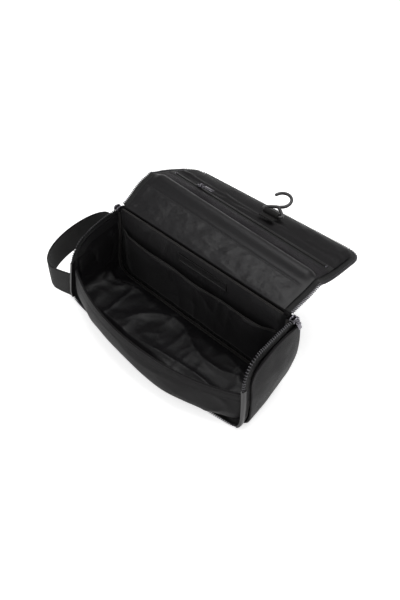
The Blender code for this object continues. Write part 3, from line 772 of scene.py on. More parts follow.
def stitches(name: str, path: Array, lift: Array, pitch: float = STITCH_PITCH,
             radius: float = STITCH_RADIUS) -> bpy.types.Object:
    """Lay a row of short thread stitches along a path, raised by its lift vectors."""
    travel = np.concatenate([[0.0], np.cumsum(np.linalg.norm(np.diff(path, axis=0), axis=1))])
    stations = np.arange(pitch / 2, travel[-1] - pitch / 4, pitch)
    centre = np.stack([np.interp(stations, travel, path[:, k]) for k in range(3)], axis=1)
    tangent = unit(np.stack([np.interp(stations, travel, np.gradient(path[:, k]))
                             for k in range(3)], axis=1))
    rise = unit(np.stack([np.interp(stations, travel, lift[:, k]) for k in range(3)], axis=1))
    side = np.cross(tangent, rise)
    half = 0.36 * pitch
    shape = []
    for t, size in ((-1.0, 0.25), (-0.6, 0.95), (0.6, 0.95), (1.0, 0.25)):
        for a, b in ((1, 0), (0, 1), (-1, 0), (0, -1)):
            shape.append((t * half, a * radius * size, (b * 0.8 + 0.15) * radius * size))
    local = np.array(shape)
    verts = (centre[:, None, :] + local[None, :, 0, None] * tangent[:, None, :]
             + local[None, :, 1, None] * side[:, None, :]
             + local[None, :, 2, None] * rise[:, None, :]).reshape(-1, 3)
    faces = []
    for n in range(len(stations)):
        base = n * 16
        for i in range(3):
            for k in range(4):
                j = (k + 1) % 4
                faces.append((base + 4 * i + k, base + 4 * i + j,
                              base + 4 * i + 4 + j, base + 4 * i + 4 + k))
        faces.append((base + 3, base + 2, base + 1, base))
        faces.append((base + 12, base + 13, base + 14, base + 15))
    uvs = np.tile(local[:, :2] + radius, (len(stations), 1))
    piece = mesh_piece(name, verts, faces, Finish.THREAD, uvs, 60.0)
    face_outwards(piece)
    return piece


# --------------------------------------------------------------------------- studio

@dataclass
class Studio:
    """Camera, pale floor and soft light."""

    azimuth: float = 43.5
    elevation: float = 46.0
    distance: float = 0.769
    target: tuple[float, float, float] = (0.0, 0.040, 0.060)
    lens: float = 39.0
    shift: tuple[float, float] = (0.0055, -0.023)
    ambient: float = 0.27

    def build(self) -> None:
        """Add the camera, the floor, the lights and the world."""
        scene = bpy.context.scene
        scene.view_settings.view_transform = "Standard"
        scene.view_settings.look = "None"
        a, e = math.radians(self.azimuth), math.radians(self.elevation)
        back = Vector((math.sin(a) * math.cos(e), -math.cos(a) * math.cos(e), math.sin(e)))
        camera = bpy.data.objects.new("camera", bpy.data.cameras.new("camera"))
        camera.location = Vector(self.target) + self.distance * back
        camera.rotation_euler = back.to_track_quat("Z", "Y").to_euler()
        camera.data.lens = self.lens
        camera.data.sensor_width = 36.0
        camera.data.shift_x, camera.data.shift_y = self.shift
        camera.data.clip_start = 0.01
        bpy.context.collection.objects.link(camera)
        scene.camera = camera
        self.build_floor()
        self.add_softbox("overhead", (0.0, 0.40, 1.1), (0, 0, 0), 0.9, 9.0)
        self.add_softbox("front_left", (-0.75, -0.80, 0.85), (0, 0, 0.05), 0.8, 4.0)
        self.add_softbox("right", (0.95, -0.25, 0.60), (0.1, 0.0, 0.05), 0.6, 1.3)
        world = bpy.data.worlds.new("studio")
        world.use_nodes = True
        tree = world.node_tree
        tree.nodes["Background"].inputs[0].default_value = (1.0, 1.0, 1.0, 1.0)
        view = tree.nodes.new("ShaderNodeLightPath")
        level = tree.nodes.new("ShaderNodeMath")
        level.operation = "MULTIPLY_ADD"
        level.inputs[1].default_value = 1.0 - self.ambient
        level.inputs[2].default_value = self.ambient
        tree.links.new(view.outputs["Is Camera Ray"], level.inputs[0])
        tree.links.new(level.outputs[0], tree.nodes["Background"].inputs[1])
        scene.world = world

    def build_floor(self) -> None:
        """Add a plain white floor."""
        deselect()
        bpy.ops.mesh.primitive_plane_add(size=8.0, location=(0, 0, -0.0002))
        floor = bpy.context.active_object
        floor.name = "floor"
        material = bpy.data.materials.new("studio_floor")
        material.use_nodes = True
        shader = material.node_tree.nodes["Principled BSDF"]
        shader.inputs["Base Color"].default_value = (0.95, 0.95, 0.95, 1.0)
        shader.inputs["Roughness"].default_value = 0.9
        shader.inputs["Emission Color"].default_value = (1.0, 1.0, 1.0, 1.0)
        shader.inputs["Emission Strength"].default_value = 0.62
        floor.data.materials.append(material)
        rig.stage(floor)

    def add_softbox(self, name: str, place: Sequence[float], aim: Sequence[float],
                    size: float, power: float) -> None:
        """Add one square area light aimed at a point."""
        light = bpy.data.lights.new(name, "AREA")
        light.shape = "SQUARE"
        light.size = size
        light.energy = power
        lamp = bpy.data.objects.new(name, light)
        lamp.location = place
        lamp.rotation_euler = (Vector(place) - Vector(aim)).to_track_quat("Z", "Y").to_euler()
        bpy.context.collection.objects.link(lamp)


# --------------------------------------------------------------------------- the form

@dataclass
class BodyForm:
    """The open box's shape: a U-shaped band that spreads a little, with a sloping top."""

    width: float = 0.270
    back_y: float = 0.040
    front_y: float = -0.036
    back_height: float = 0.108
    front_height: float = 0.086
    base_corner: float = 0.024
    top_corner: float = 0.022
    flare: float = 0.011
    lean: float = 0.009
    bow: float = 0.012
    edge: float = 0.009
    wall: float = 0.0045
    belly_right: float = 0.007
    belly_left: float = 0.004
    back_shift: tuple[float, float, float] = (0.005, 0.008, 0.005)
    top_swell: float = 0.005
    slope: float = field(init=False)

    def __post_init__(self) -> None:
        """Work out the slope of the end panels' top edges."""
        rise = self.back_height - self.front_height
        self.slope = math.atan2(rise, self.back_y - self.front_y)

    @property
    def cloth_front(self) -> float:
        """Depth of the band cloth's front edge."""
        return self.front_y + self.edge

    @property
    def cloth_back(self) -> float:
        """Depth of the band cloth's back edge."""
        return self.back_y - self.wall

    def line_top(self, y: Array | float) -> Array | float:
        """Height of the straight part of the cloth's top edge."""
        start = self.front_height - self.edge / math.cos(self.slope)
        return start + (y - self.front_y) * math.tan(self.slope)

    def corner(self) -> tuple[float, float]:
        """Centre of the round front-top corner."""
        y = self.cloth_front + self.top_corner
        return y, float(self.line_top(y)) - self.top_corner / math.cos(self.slope)

    def cloth_top(self, y: Array, drop: float = 0.0) -> Array:
        """Height of an end panel's edge at depth y, set back by drop."""
        cy, cz = self.corner()
        radius = self.top_corner - drop
        line = self.line_top(y) - drop / math.cos(self.slope)
        rise = np.sqrt(np.maximum(0.0, radius ** 2 - (cy - y) ** 2))
        limit = cy - radius * math.sin(self.slope)
        return np.where(y > limit, line, cz + rise)

    def relax(self, points: Array) -> Array:
        """Spread the open body: the foot flares, leans forward and bows; the ends belly."""
        x, y, z = points[:, 0], points[:, 1], points[:, 2]
        low = np.maximum(0.0, 1.0 - z / self.front_height)
        front = (self.back_y - y) / (self.back_y - self.front_y)
        across = np.minimum(1.0, np.abs(x) / (self.width / 2))
        spread = 1.0 + self.flare / (self.width / 2) * low * np.minimum(1.0, front)
        bow = self.bow * (1.0 - across ** np.where(x > 0, 3.5, 2.0)) * low
        side = smooth((across - 0.80) / 0.2)
        depth = np.clip(1 - front, 0, 1)
        height = np.clip(z / 0.095, 0, 1)
        hump = (np.sin(math.pi * np.clip(depth * 0.86 + 0.07, 0, 1)) ** 0.8
                * np.sin(math.pi * np.clip(height * 0.9 + 0.06, 0, 1)) ** 1.2)
        swell = np.where(x > 0, self.belly_right, -self.belly_left) * side * hump
        corner = (smooth((across - 0.90) / 0.10) * smooth((depth - 0.15) / 0.8)
                  * smooth((z - 0.010) / 0.055))
        out, behind, above = self.back_shift
        swell = swell + out * corner
        behind = np.where(x > 0, behind, 0.5 * behind)
        crest = self.top_swell * side * smooth((z - 0.05) / 0.04) * np.sin(
            math.pi * np.clip(depth / 0.93, 0, 1))
        rise = above * corner + crest
        return np.stack([x * spread + swell,
                         y - front * (self.lean * low + bow) + behind * corner, z + rise],
                        axis=1)

    def squareness(self, y: Array) -> Array:
        """Power of the base corner's curve: round at the back, squarer at the front."""
        return 1 - 0.45 * np.clip((self.cloth_back - y) / (self.cloth_back - self.cloth_front),
                                  0, 1)

    def band(self, u: Array, top: Array, inset: float,
             power: Array | float = 1.0) -> tuple[Array, Array]:
        """Points and outward normals round the band's U at y = 0.

        Args:
            u: 0 at the left top, 1 at the right top.
            top: Height of the end panel's edge for each point.
            inset: Distance inside the outer face.
            power: Power of the base corner's curve, 1 for an arc.

        Returns:
            Points and normals.
        """
        half, r = self.width / 2, self.base_corner
        side, arc, base = 0.073, math.pi / 2 * r, 2 * (half - r)
        total = 2 * (side + arc) + base
        s = np.minimum(u, 1 - u) * total
        sign = np.where(u < 0.5, -1.0, 1.0)
        x = np.full_like(u, half)
        z = np.zeros_like(u)
        nx = np.ones_like(u)
        nz = np.zeros_like(u)
        on_side = s <= side
        z = np.where(on_side, top + (r - top) * np.clip(s / side, 0, 1), z)
        angle = np.clip((s - side) / arc, 0, 1) * math.pi / 2
        on_arc = (s > side) & (s <= side + arc)
        x = np.where(on_arc, half - r + r * np.cos(angle) ** power, x)
        z = np.where(on_arc, r - r * np.sin(angle) ** power, z)
        nx = np.where(on_side, 1.0, np.where(on_arc, np.cos(angle), 0.0))
        nz = np.where(on_side, 0.0, np.where(on_arc, -np.sin(angle), -1.0))
        on_base = s > side + arc
        x = np.where(on_base, (half - r) * (1 - (s - side - arc) / (base / 2)), x)
        points = np.stack([sign * x, np.zeros_like(u), z], axis=1)
        outward = np.stack([sign * nx, np.zeros_like(u), nz], axis=1)
        return points - inset * outward, outward

    def band_surface(self, inset: float, drop: float = 0.0, back: float = 0.0) -> Surface:
        """Surface of one layer of the band, front edge at v = 0."""

        def surface(u: Array, v: Array) -> Array:
            y = self.cloth_front + v * (self.cloth_back + back - self.cloth_front)
            # Rows crowd into the round corner, where the edge climbs fast.
            y = self.cloth_front + (y - self.cloth_front) * (0.55 + 0.45 * v)
            y = np.where(v >= 1, self.cloth_back + back, y)
            points, _ = self.band(u, self.cloth_top(y, drop), inset, self.squareness(y))
            points[:, 1] = y
            return self.relax(points)

        return surface

    def edge_frames(self, steps: int = 14) -> list[Frame]:
        """Frames round the whole free edge: left end, front of the base, right end."""
        cy, cz = self.corner()
        left: list[Frame] = []
        for y in np.linspace(self.cloth_back, cy - self.top_corner * math.sin(self.slope), steps):
            out = np.array([0.0, -math.sin(self.slope), math.cos(self.slope)])
            left.append((np.array([-self.width / 2, y, self.line_top(y)]), out,
                         np.array([-1.0, 0, 0])))
        for angle in np.linspace(math.pi / 2 + self.slope, math.pi, steps)[1:]:
            out = np.array([0.0, math.cos(angle), math.sin(angle)])
            point = np.array([-self.width / 2, cy, cz]) + self.top_corner * out
            left.append((point, out, np.array([-1.0, 0, 0])))
        u = np.linspace(0, 1, 8 * steps + 1)[1:-1]
        points, outward = self.band(u, np.full_like(u, cz), 0.0, 0.55)
        points[:, 1] = self.cloth_front
        forward = np.array([0.0, -1.0, 0.0])
        middle = [(p, forward, n) for p, n in zip(points, outward)]
        flip = np.array([-1.0, 1.0, 1.0])
        right = [(p * flip, e * flip, n * flip) for p, e, n in reversed(left)]
        return left + middle + right

    def relaxed(self, frames: Sequence[Frame]) -> list[Frame]:
        """Move frames with the relaxed body, directions included."""
        points = np.array([f[0] for f in frames])
        outs = np.array([f[1] for f in frames])
        ups = np.array([f[2] for f in frames])
        step = 0.5 * MM
        moved = self.relax(points)
        out_moved = unit(self.relax(points + outs * step) - moved)
        up_moved = unit(self.relax(points + ups * step) - moved)
        return list(zip(moved, out_moved, up_moved))


@dataclass
class Panels:
    """The lid and the flap as one profile that turns over the fold."""

    hinge: Array
    lid_angle: float
    flap_angle: float
    width: float = 0.270
    lid_length: float = 0.060
    flap_length: float = 0.087
    edge: float = 0.009
    bend: float = 0.016
    step: float = 0.0015
    pinch: float = 0.011

    def __post_init__(self) -> None:
        """Work out where the bend starts and ends along the profile."""
        turn = self.lid_angle - self.flap_angle
        self.tangent = self.bend * math.tan(turn / 2)
        self.arc = self.bend * turn
        self.total = (self.lid_length - self.tangent) + self.arc + (
            self.flap_length - self.tangent)

    def profile(self, a: Array, height: float | Array = 0.0) -> tuple[Array, Array]:
        """Points and upward normals at distance a from the hinge, along the profile."""
        along1 = np.array([0, math.cos(self.lid_angle), math.sin(self.lid_angle)])
        up1 = np.array([0, -math.sin(self.lid_angle), math.cos(self.lid_angle)])
        first = self.lid_length - self.tangent
        centre = self.hinge + first * along1 - self.bend * up1
        angle = self.lid_angle - np.clip((a - first) / self.bend, 0, self.arc / self.bend)
        up = np.stack([np.zeros_like(a), -np.sin(angle), np.cos(angle)], axis=1)
        along = np.stack([np.zeros_like(a), np.cos(angle), np.sin(angle)], axis=1)
        base = centre + self.bend * up
        base = np.where((a < first)[:, None], self.hinge + a[:, None] * along1, base)
        beyond = np.maximum(0.0, a - first - self.arc)
        base = base + beyond[:, None] * along
        base = base - self.step * smooth((a - first - 0.5 * self.arc) / 0.008)[:, None] * up
        return base + up * np.asarray(height).reshape(-1, 1), up

    def flap_a(self, distance: float) -> float:
        """Profile distance of a point that lies at a distance from the fold on the flap."""
        return self.lid_length - 2 * self.tangent + self.arc + distance

    def relax(self, points: Array) -> Array:
        """Let the open lid hang lower at its right end and draw in at its left hinge end."""
        reach = smooth((points[:, 1] - self.hinge[1]) / 0.05)
        far = smooth((points[:, 1] - 0.112) / 0.06)
        right = (points[:, 0] / (self.width / 2) + 1) / 2
        out = points.copy()
        out[:, 2] -= 7.0 * MM * right * reach * (1 - far)
        out[:, 1] -= 6.0 * MM * right * reach * (1 - far)
        out[:, 2] += far * (2.8 * MM * right - 5.5 * MM * (1 - right))
        near = 1 - smooth((points[:, 1] - self.hinge[1]) / 0.045)
        out[:, 0] += self.pinch * near * np.maximum(0.0, -points[:, 0] / (self.width / 2)) ** 4
        return out

    def sheet(self, start: float, end: float, half: float, height: float,
              corner: float = 0.0) -> Surface:
        """Surface between two profile distances, with round far corners."""

        def surface(u: Array, v: Array) -> Array:
            a = start + v * (end - start)
            reach = np.full_like(a, half)
            if corner:
                rise = np.maximum(0.0, a - (end - corner))
                reach = half - corner + np.sqrt(np.maximum(0.0, corner ** 2 - rise ** 2))
            points, _ = self.profile(a, height)
            points[:, 0] = (2 * u - 1) * reach
            return self.relax(points)

        return surface

    def side_frames(self, sign: int, start: float, end: float, steps: int = 24) -> list[Frame]:
        """Frames along one side of the lid."""
        a = np.linspace(start, end, steps)
        points, up = self.profile(a)
        half = self.width / 2 - self.edge
        out = np.array([float(sign), 0.0, 0.0])
        frames = []
        for p, n in zip(points, up):
            p = p.copy()
            p[0] = sign * half
            frames.append((p, out, n))
        return self.relaxed(frames)

    def flap_frames(self, corner: float, steps: int = 12) -> list[Frame]:
        """Frames round the flap's three free sides, right to left."""
        half = self.width / 2 - self.edge
        start, end = self.flap_a(3.5 * MM), self.flap_a(self.flap_length - self.edge)
        outline: list[tuple[float, float, float, float]] = []
        for a in np.linspace(start, end - corner, 16):
            outline.append((half, a, 1.0, 0.0))
        for k in range(1, steps + 1):
            t = math.pi / 2 * k / steps
            outline.append((half - corner + corner * math.cos(t),
                            end - corner + corner * math.sin(t), math.cos(t), math.sin(t)))
        for x in np.linspace(half - corner, -half + corner, 60)[1:]:
            outline.append((x, end, 0.0, 1.0))
        for k in range(1, steps + 1):
            t = math.pi / 2 * (1 + k / steps)
            outline.append((-half + corner + corner * math.cos(t),
                            end - corner + corner * math.sin(t), math.cos(t), math.sin(t)))
        for a in np.linspace(end - corner, start, 16)[1:]:
            outline.append((-half, a, -1.0, 0.0))
        data = np.array(outline)
        points, up = self.profile(data[:, 1])
        points[:, 0] = data[:, 0]
        angle = self.flap_angle
        along = np.array([0, math.cos(angle), math.sin(angle)])
        outs = data[:, 2:3] * np.array([1.0, 0, 0]) + data[:, 3:4] * along
        return self.relaxed(list(zip(points, outs, up)))

    def relaxed(self, frames: Sequence[Frame]) -> list[Frame]:
        """Move frames with the drooping lid."""
        points = np.array([f[0] for f in frames])
        outs = np.array([f[1] for f in frames])
        ups = np.array([f[2] for f in frames])
        step = 0.5 * MM
        moved = self.relax(points)
        out_moved = unit(self.relax(points + outs * step) - moved)
        up_moved = unit(self.relax(points + ups * step) - moved)
        return list(zip(moved, out_moved, up_moved))


# --------------------------------------------------------------------------- zips

@dataclass
class ZipChain:
    """A row of moulded teeth on a woven tape.

    The pitch is that of a number 5 metal zip, about 2.5 mm.
    """

    pitch: float = 2.5 * MM
    near: float = 5.6 * MM
    reach: float = 3.0 * MM
    tall: float = 2.2 * MM
    long: float = 1.3 * MM
    tape: tuple[float, float] = (-1.5 * MM, 6.4 * MM)
    tape_depth: tuple[float, float] = (1.85 * MM, 2.55 * MM)
    level: float = 2.2 * MM

    def build_tooth(self) -> bpy.types.Object:
        """Model one tooth: a bevelled block with a narrower, rounded nose."""
        deselect()
        bpy.ops.mesh.primitive_cube_add(size=1.0, location=(0, 0, 0))
        tooth = bpy.context.active_object
        bpy.ops.object.mode_set(mode="EDIT")
        bpy.ops.mesh.select_all(action="SELECT")
        bpy.ops.transform.resize(value=(self.reach * 0.6, self.long, self.tall))
        bpy.ops.object.mode_set(mode="OBJECT")
        for polygon in tooth.data.polygons:
            polygon.select = polygon.normal.x > 0.9
        for edge in tooth.data.edges:
            edge.select = False
        for vertex in tooth.data.vertices:
            vertex.select = vertex.co.x > 0
        bpy.ops.object.mode_set(mode="EDIT")
        bpy.ops.mesh.select_mode(type="FACE")
        bpy.ops.mesh.extrude_region_move(
            TRANSFORM_OT_translate={"value": (self.reach * 0.4, 0, 0)})
        bpy.ops.transform.resize(value=(1.0, 0.8, 0.72))
        bpy.ops.object.mode_set(mode="OBJECT")
        bevel = tooth.modifiers.new("soft edges", "BEVEL")
        bevel.width = 0.22 * MM
        bevel.segments = 1
        bevel.limit_method = "ANGLE"
        apply_modifiers(tooth)
        return tooth

    def build(self, name: str, frames: Sequence[Frame], lead: float = 1.0 * MM,
              finish: Finish = Finish.TEETH) -> bpy.types.Object:
        """Set a tooth at every pitch along the frames, joined into one piece."""
        tooth = self.build_tooth()
        local = coordinates(tooth)
        cells = [list(p.vertices) for p in tooth.data.polygons]
        bpy.data.objects.remove(tooth, do_unlink=True)
        stations = resample(frames, self.pitch, lead)
        verts, faces = [], []
        for i, (point, out, normal) in enumerate(stations):
            along = np.cross(normal, out)
            centre = point + (self.near + 0.3 * self.reach) * out - self.level * normal
            verts.append(centre + local[:, :1] * out + local[:, 1:2] * along
                         + local[:, 2:3] * normal)
            faces += [[k + i * len(local) for k in cell] for cell in cells]
        piece = mesh_piece(name, np.concatenate(verts), faces, finish, None, 30.0)
        face_outwards(piece)
        return piece

    def build_tape(self, name: str, frames: Sequence[Frame]) -> bpy.types.Object:
        """Weave the tape that carries the teeth."""
        return ribbon(name, frames, self.tape, self.tape_depth, Finish.ZIP_TAPE)


@dataclass
class ZipSlider:
    """A cast slider: two plates on a neck, a bridge over the top and a hanging puller."""

    half_long: float = 5.0 * MM
    half_wide: float = 3.6 * MM
    plate: float = 1.7 * MM
    gap: float = 1.5 * MM
    eye: float = 2.4 * MM
    puller: float = 13 * MM
    puller_half: float = 2.5 * MM

    def seat(self, place: Array, along: Array, out: Array) -> Matrix:
        """Return the matrix that puts local x along and local z out at a place."""
        side = np.cross(out, along)
        return Matrix([[*row, 1.0 * p] for row, p in zip(
            np.stack([along, side, out], axis=1).tolist(), place.tolist())] + [[0, 0, 0, 1]])

    def merge(self, name: str, parts: Sequence[bpy.types.Object],
              seat: Matrix) -> bpy.types.Object:
        """Join parts, soften their edges and put them in place."""
        deselect()
        for part in parts:
            part.select_set(True)
        bpy.context.view_layer.objects.active = parts[0]
        bpy.ops.object.transform_apply(location=True, rotation=True, scale=True)
        bpy.ops.object.join()
        piece = bpy.context.active_object
        piece.name = piece.data.name = name
        bevel = piece.modifiers.new("soft edges", "BEVEL")
        bevel.width = 0.35 * MM
        bevel.segments = 2
        bevel.limit_method = "ANGLE"
        bevel.angle_limit = math.radians(50)
        apply_modifiers(piece)
        piece.data.transform(seat)
        finish_piece(piece, Finish.GUNMETAL, 50.0)
        return piece

    def build_body(self, name: str, seat: Matrix) -> bpy.types.Object:
        """Model both plates, the neck and the bridge."""
        parts = []
        for level in (self.gap + self.plate / 2, -self.gap - self.plate / 2):
            deselect()
            bpy.ops.mesh.primitive_cylinder_add(vertices=10, radius=1.0, depth=self.plate,
                                                location=(0, 0, level))
            plate = bpy.context.active_object
            plate.scale = (self.half_long, self.half_wide, 1.0)
            parts.append(plate)
        deselect()
        bpy.ops.mesh.primitive_cube_add(size=1.0, location=(-0.7 * self.half_long, 0, 0))
        neck = bpy.context.active_object
        neck.scale = (0.25 * self.half_long, 0.5 * self.half_wide, 2 * self.gap + 0.4 * MM)
        parts.append(neck)
        deselect()
        bpy.ops.mesh.primitive_torus_add(
            major_radius=self.eye, minor_radius=0.55 * MM, major_segments=20,
            minor_segments=8, location=(0.2 * MM, 0, self.gap + self.plate + 0.3 * MM),
            rotation=(math.pi / 2, 0, 0))
        parts.append(bpy.context.active_object)
        return self.merge(name, parts, seat)

    def build_stop(self, name: str, seat: Matrix) -> bpy.types.Object:
        """Model a stop: a flat bar crimped over a narrower core, across local x."""
        bars = []
        for size in ((2.0 * MM, 4.6 * MM, 1.2 * MM), (1.4 * MM, 3.4 * MM, 2.4 * MM)):
            deselect()
            bpy.ops.mesh.primitive_cube_add(size=1.0)
            bar = bpy.context.active_object
            bar.scale = size
            bars.append(bar)
        return self.merge(name, bars, seat)

    def build_puller(self, name: str, seat: Matrix) -> bpy.types.Object:
        """Model a ring and a flat tab that reach along local x."""
        deselect()
        bpy.ops.mesh.primitive_torus_add(major_radius=self.eye, minor_radius=0.6 * MM,
                                         major_segments=20, minor_segments=8)
        ring = bpy.context.active_object
        deselect()
        bpy.ops.mesh.primitive_cube_add(size=1.0, location=(
            (self.eye + self.puller) / 2, 0, 0))
        tab = bpy.context.active_object
        bpy.ops.object.mode_set(mode="EDIT")
        bpy.ops.mesh.select_all(action="SELECT")
        bpy.ops.transform.resize(value=(self.puller - self.eye, 2 * self.puller_half, 1.2 * MM))
        bpy.ops.mesh.bevel(offset=0.8 * MM, segments=2, affect="EDGES")
        bpy.ops.object.mode_set(mode="OBJECT")
        return self.merge(name, [ring, tab], seat)


# --------------------------------------------------------------------------- the body

@dataclass
class Body:
    """Gusset band, back panel, front wall, their linings and the zip edge."""

    form: BodyForm
    hinge: Array
    facing: float = 12 * MM
    rim: float = 50 * MM
    belly: float = 27 * MM
    foot: float = 3.6 * MM
    cloth: float = 2.6 * MM

    def build(self) -> None:
        """Build every piece of the body."""
        self.build_band()
        self.build_back()
        self.build_wall()
        self.build_lining()
        self.build_back_lining()
        self.build_zip()

    def build_band(self) -> None:
        """Outer cloth with its foam: left end, base and right end in one band."""
        surface = self.form.band_surface(0.0, back=3.9 * MM)
        piece = lay_sheet("gusset_cloth", surface, (150, 34), Finish.SHELL)
        points = coordinates(piece)
        end = smooth((points[:, 2] - 0.004) / 0.02)
        ripple = turbulence(points, 26.0, 11.0) * 1.1 * MM
        place_vertices(piece, points + normals(piece) * (ripple * end)[:, None])
        thicken(piece, self.cloth)
        rest_on_floor(piece, self.cloth)
        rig.replaces(piece, "gusset_outer", "gusset_foam")
        ride(piece, "bag_body", "outer_fabric")
        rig.padded(piece, fill=0.3)
        LOG.info("gusset cloth: %d faces", len(piece.data.polygons))

    def back_surface(self, y: float, inset: float, top: float) -> Surface:
        """Surface of a back panel layer, u across and v up."""
        form = self.form
        half, r = form.width / 2 - inset, form.base_corner - inset

        def surface(u: Array, v: Array) -> Array:
            crest = top - 7.0 * MM * smooth((np.abs(2 * u - 1) - 0.91) / 0.09)
            z = inset + v * (crest - inset)
            low = np.maximum(0.0, r - (z - inset))
            reach = half - r + np.sqrt(np.maximum(0.0, r * r - low * low))
            return form.relax(np.stack([(2 * u - 1) * reach, np.full_like(u, y), z], axis=1))

        return surface

    def build_back(self) -> None:
        """Back panel: outer cloth with foam, and the piping in its side seams."""
        top = self.hinge[2] - 2.6 * MM
        surface = self.back_surface(self.form.back_y, 0.2 * MM, top)
        piece = lay_sheet("back_panel_cloth", surface, (90, 40), Finish.SHELL)
        points = coordinates(piece)
        across = np.abs(points[:, 0]) / (self.form.width / 2)
        swell = 2.2 * MM * (1 - across ** 4) * np.sin(
            math.pi * np.clip(points[:, 2] / top, 0, 1)) + turbulence(points, 22.0, 5.0) * 0.7 * MM
        points[:, 1] += swell * (1 - across ** 8)
        place_vertices(piece, points)
        flip_faces(piece)
        thicken(piece, 2.6 * MM)
        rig.replaces(piece, "back_outer", "back_foam")
        ride(piece, "bag_body", "outer_fabric")
        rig.padded(piece, fill=0.3)
        path = self.seam_path(self.form.back_y - 1.6 * MM, 0.2 * MM, top - 2 * MM)
        cord = round_tube("back_seam_piping", path, 1.3 * MM, Finish.SHELL, 10)
        rest_on_floor(cord, 1.1 * MM)
        ride(cord, "bag_body", "outer_fabric")

    def seam_path(self, y: float, inset: float, top: float, steps: int = 150) -> Array:
        """Path round the U at one depth."""
        u = np.linspace(0, 1, steps)
        points, _ = self.form.band(u, np.full_like(u, top), inset)
        points[:, 1] = y
        return self.form.relax(points)

    def wall_surface(self) -> Surface:
        """The low front wall: a slack sheet that bellies forward over the zip."""
        form = self.form
        half, arc = form.width / 2 - form.wall, form.base_corner - form.wall

        def surface(u: Array, v: Array) -> Array:
            w = 2 * u - 1
            z = self.foot + v * (self.rim - self.foot)
            drop = np.maximum(0.0, form.base_corner - z)
            reach = np.where(z >= form.base_corner, half,
                             half - arc + np.sqrt(np.maximum(0, arc ** 2 - drop ** 2)))
            rising = 4 + 4 * smooth((w + 0.2) / 0.8)
            belly = self.belly * np.clip(1 - w ** 2, 0, 1) ** 0.8 * (1 - (1 - v) ** rising)
            y = form.cloth_front - 2.5 * MM - belly
            return form.relax(np.stack([w * reach, y, z], axis=1))

        return surface

    def build_wall(self) -> None:
        """Front wall cloth, its lining and the hem along the rim."""
        cells = (120, 34)
        piece = lay_sheet("front_wall_cloth", self.wall_surface(), cells, Finish.SHELL)
        u, v = grid_uv(cells)
        if normals(piece)[:, 1].mean() > 0:
            flip_faces(piece)
        loose = smooth(v / 0.12) * smooth((0.86 - v) / 0.1) * smooth(np.minimum(u, 1 - u) / 0.04)
        long_folds = creases(coordinates(piece), 26 * MM, 21.0, (0.22, 1.0, 1.0))
        lift_cloth(piece, (1.5 * long_folds - 0.5) * MM * loose)
        declare_sheet(piece, "stretched", ["body_zip_cloth"])
        inner = piece.copy()
        inner.data = piece.data.copy()
        inner.name = inner.data.name = "front_wall_satin"
        bpy.context.collection.objects.link(inner)
        place_vertices(inner, coordinates(piece) - normals(piece) * 1.5 * MM)
        finish_piece(inner, Finish.SATIN)
        declare_sheet(inner, "stretched", ["front_wall_cloth"])
        thicken(piece, 1.2 * MM)
        thicken(inner, 0.8 * MM)
        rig.replaces(piece, "front_wall_outer")
        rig.replaces(inner, "front_wall_lining")
        ride(piece, "bag_body", "outer_fabric")
        ride(inner, "bag_body", "satin_lining")
        self.build_rim()

    def build_rim(self) -> None:
        """Hem: the cloth is turned over the rim and sewn down twice."""
        surface = self.wall_surface()
        u = np.linspace(0.004, 0.996, 130)
        rows = [surface(u, np.full_like(u, v)) for v in (0.80, 0.86, 0.93, 0.985, 1.0)]
        rim = rows[-1]
        along = unit(np.gradient(rim, axis=0))
        up = unit(rim - rows[-2])
        out = unit(np.cross(along, up))
        under = rows[-3]
        lines = [(row, 0.75, 0.0) for row in rows[:-1]]
        lines += [(rim, 0.75, 0.9), (rim, -0.7, 1.9), (rim, -2.3, 0.9), (under, -2.6, 0.0),
                  (under, -2.0, 0.0), (rim, -1.6, -0.2), (rim, -0.1, -0.2), (rows[0], 0.1, 0.0)]
        rings = np.stack([row + out * forward * MM + up * raised * MM
                          for row, forward, raised in lines], axis=1)
        steps, count = rings.shape[:2]
        uvs = np.stack(np.meshgrid(np.arange(steps) * 2.1 * MM, np.arange(count) * 2.5 * MM,
                                   indexing="ij"), axis=-1).reshape(-1, 2)
        piece = loft("front_rim_cloth", rings, uvs, Finish.SHELL, 50.0)
        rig.replaces(piece, "front_rim_hem")
        ride(piece, "bag_body", "outer_fabric")
        for number, v in enumerate((0.825, 0.955)):
            path = surface(u, np.full_like(u, v)) + out * 0.95 * MM
            row = stitches(f"rim_stitch_{number}", path, out, 3.0 * MM, 0.22 * MM)
            ride(row, "bag_body", "outer_fabric")

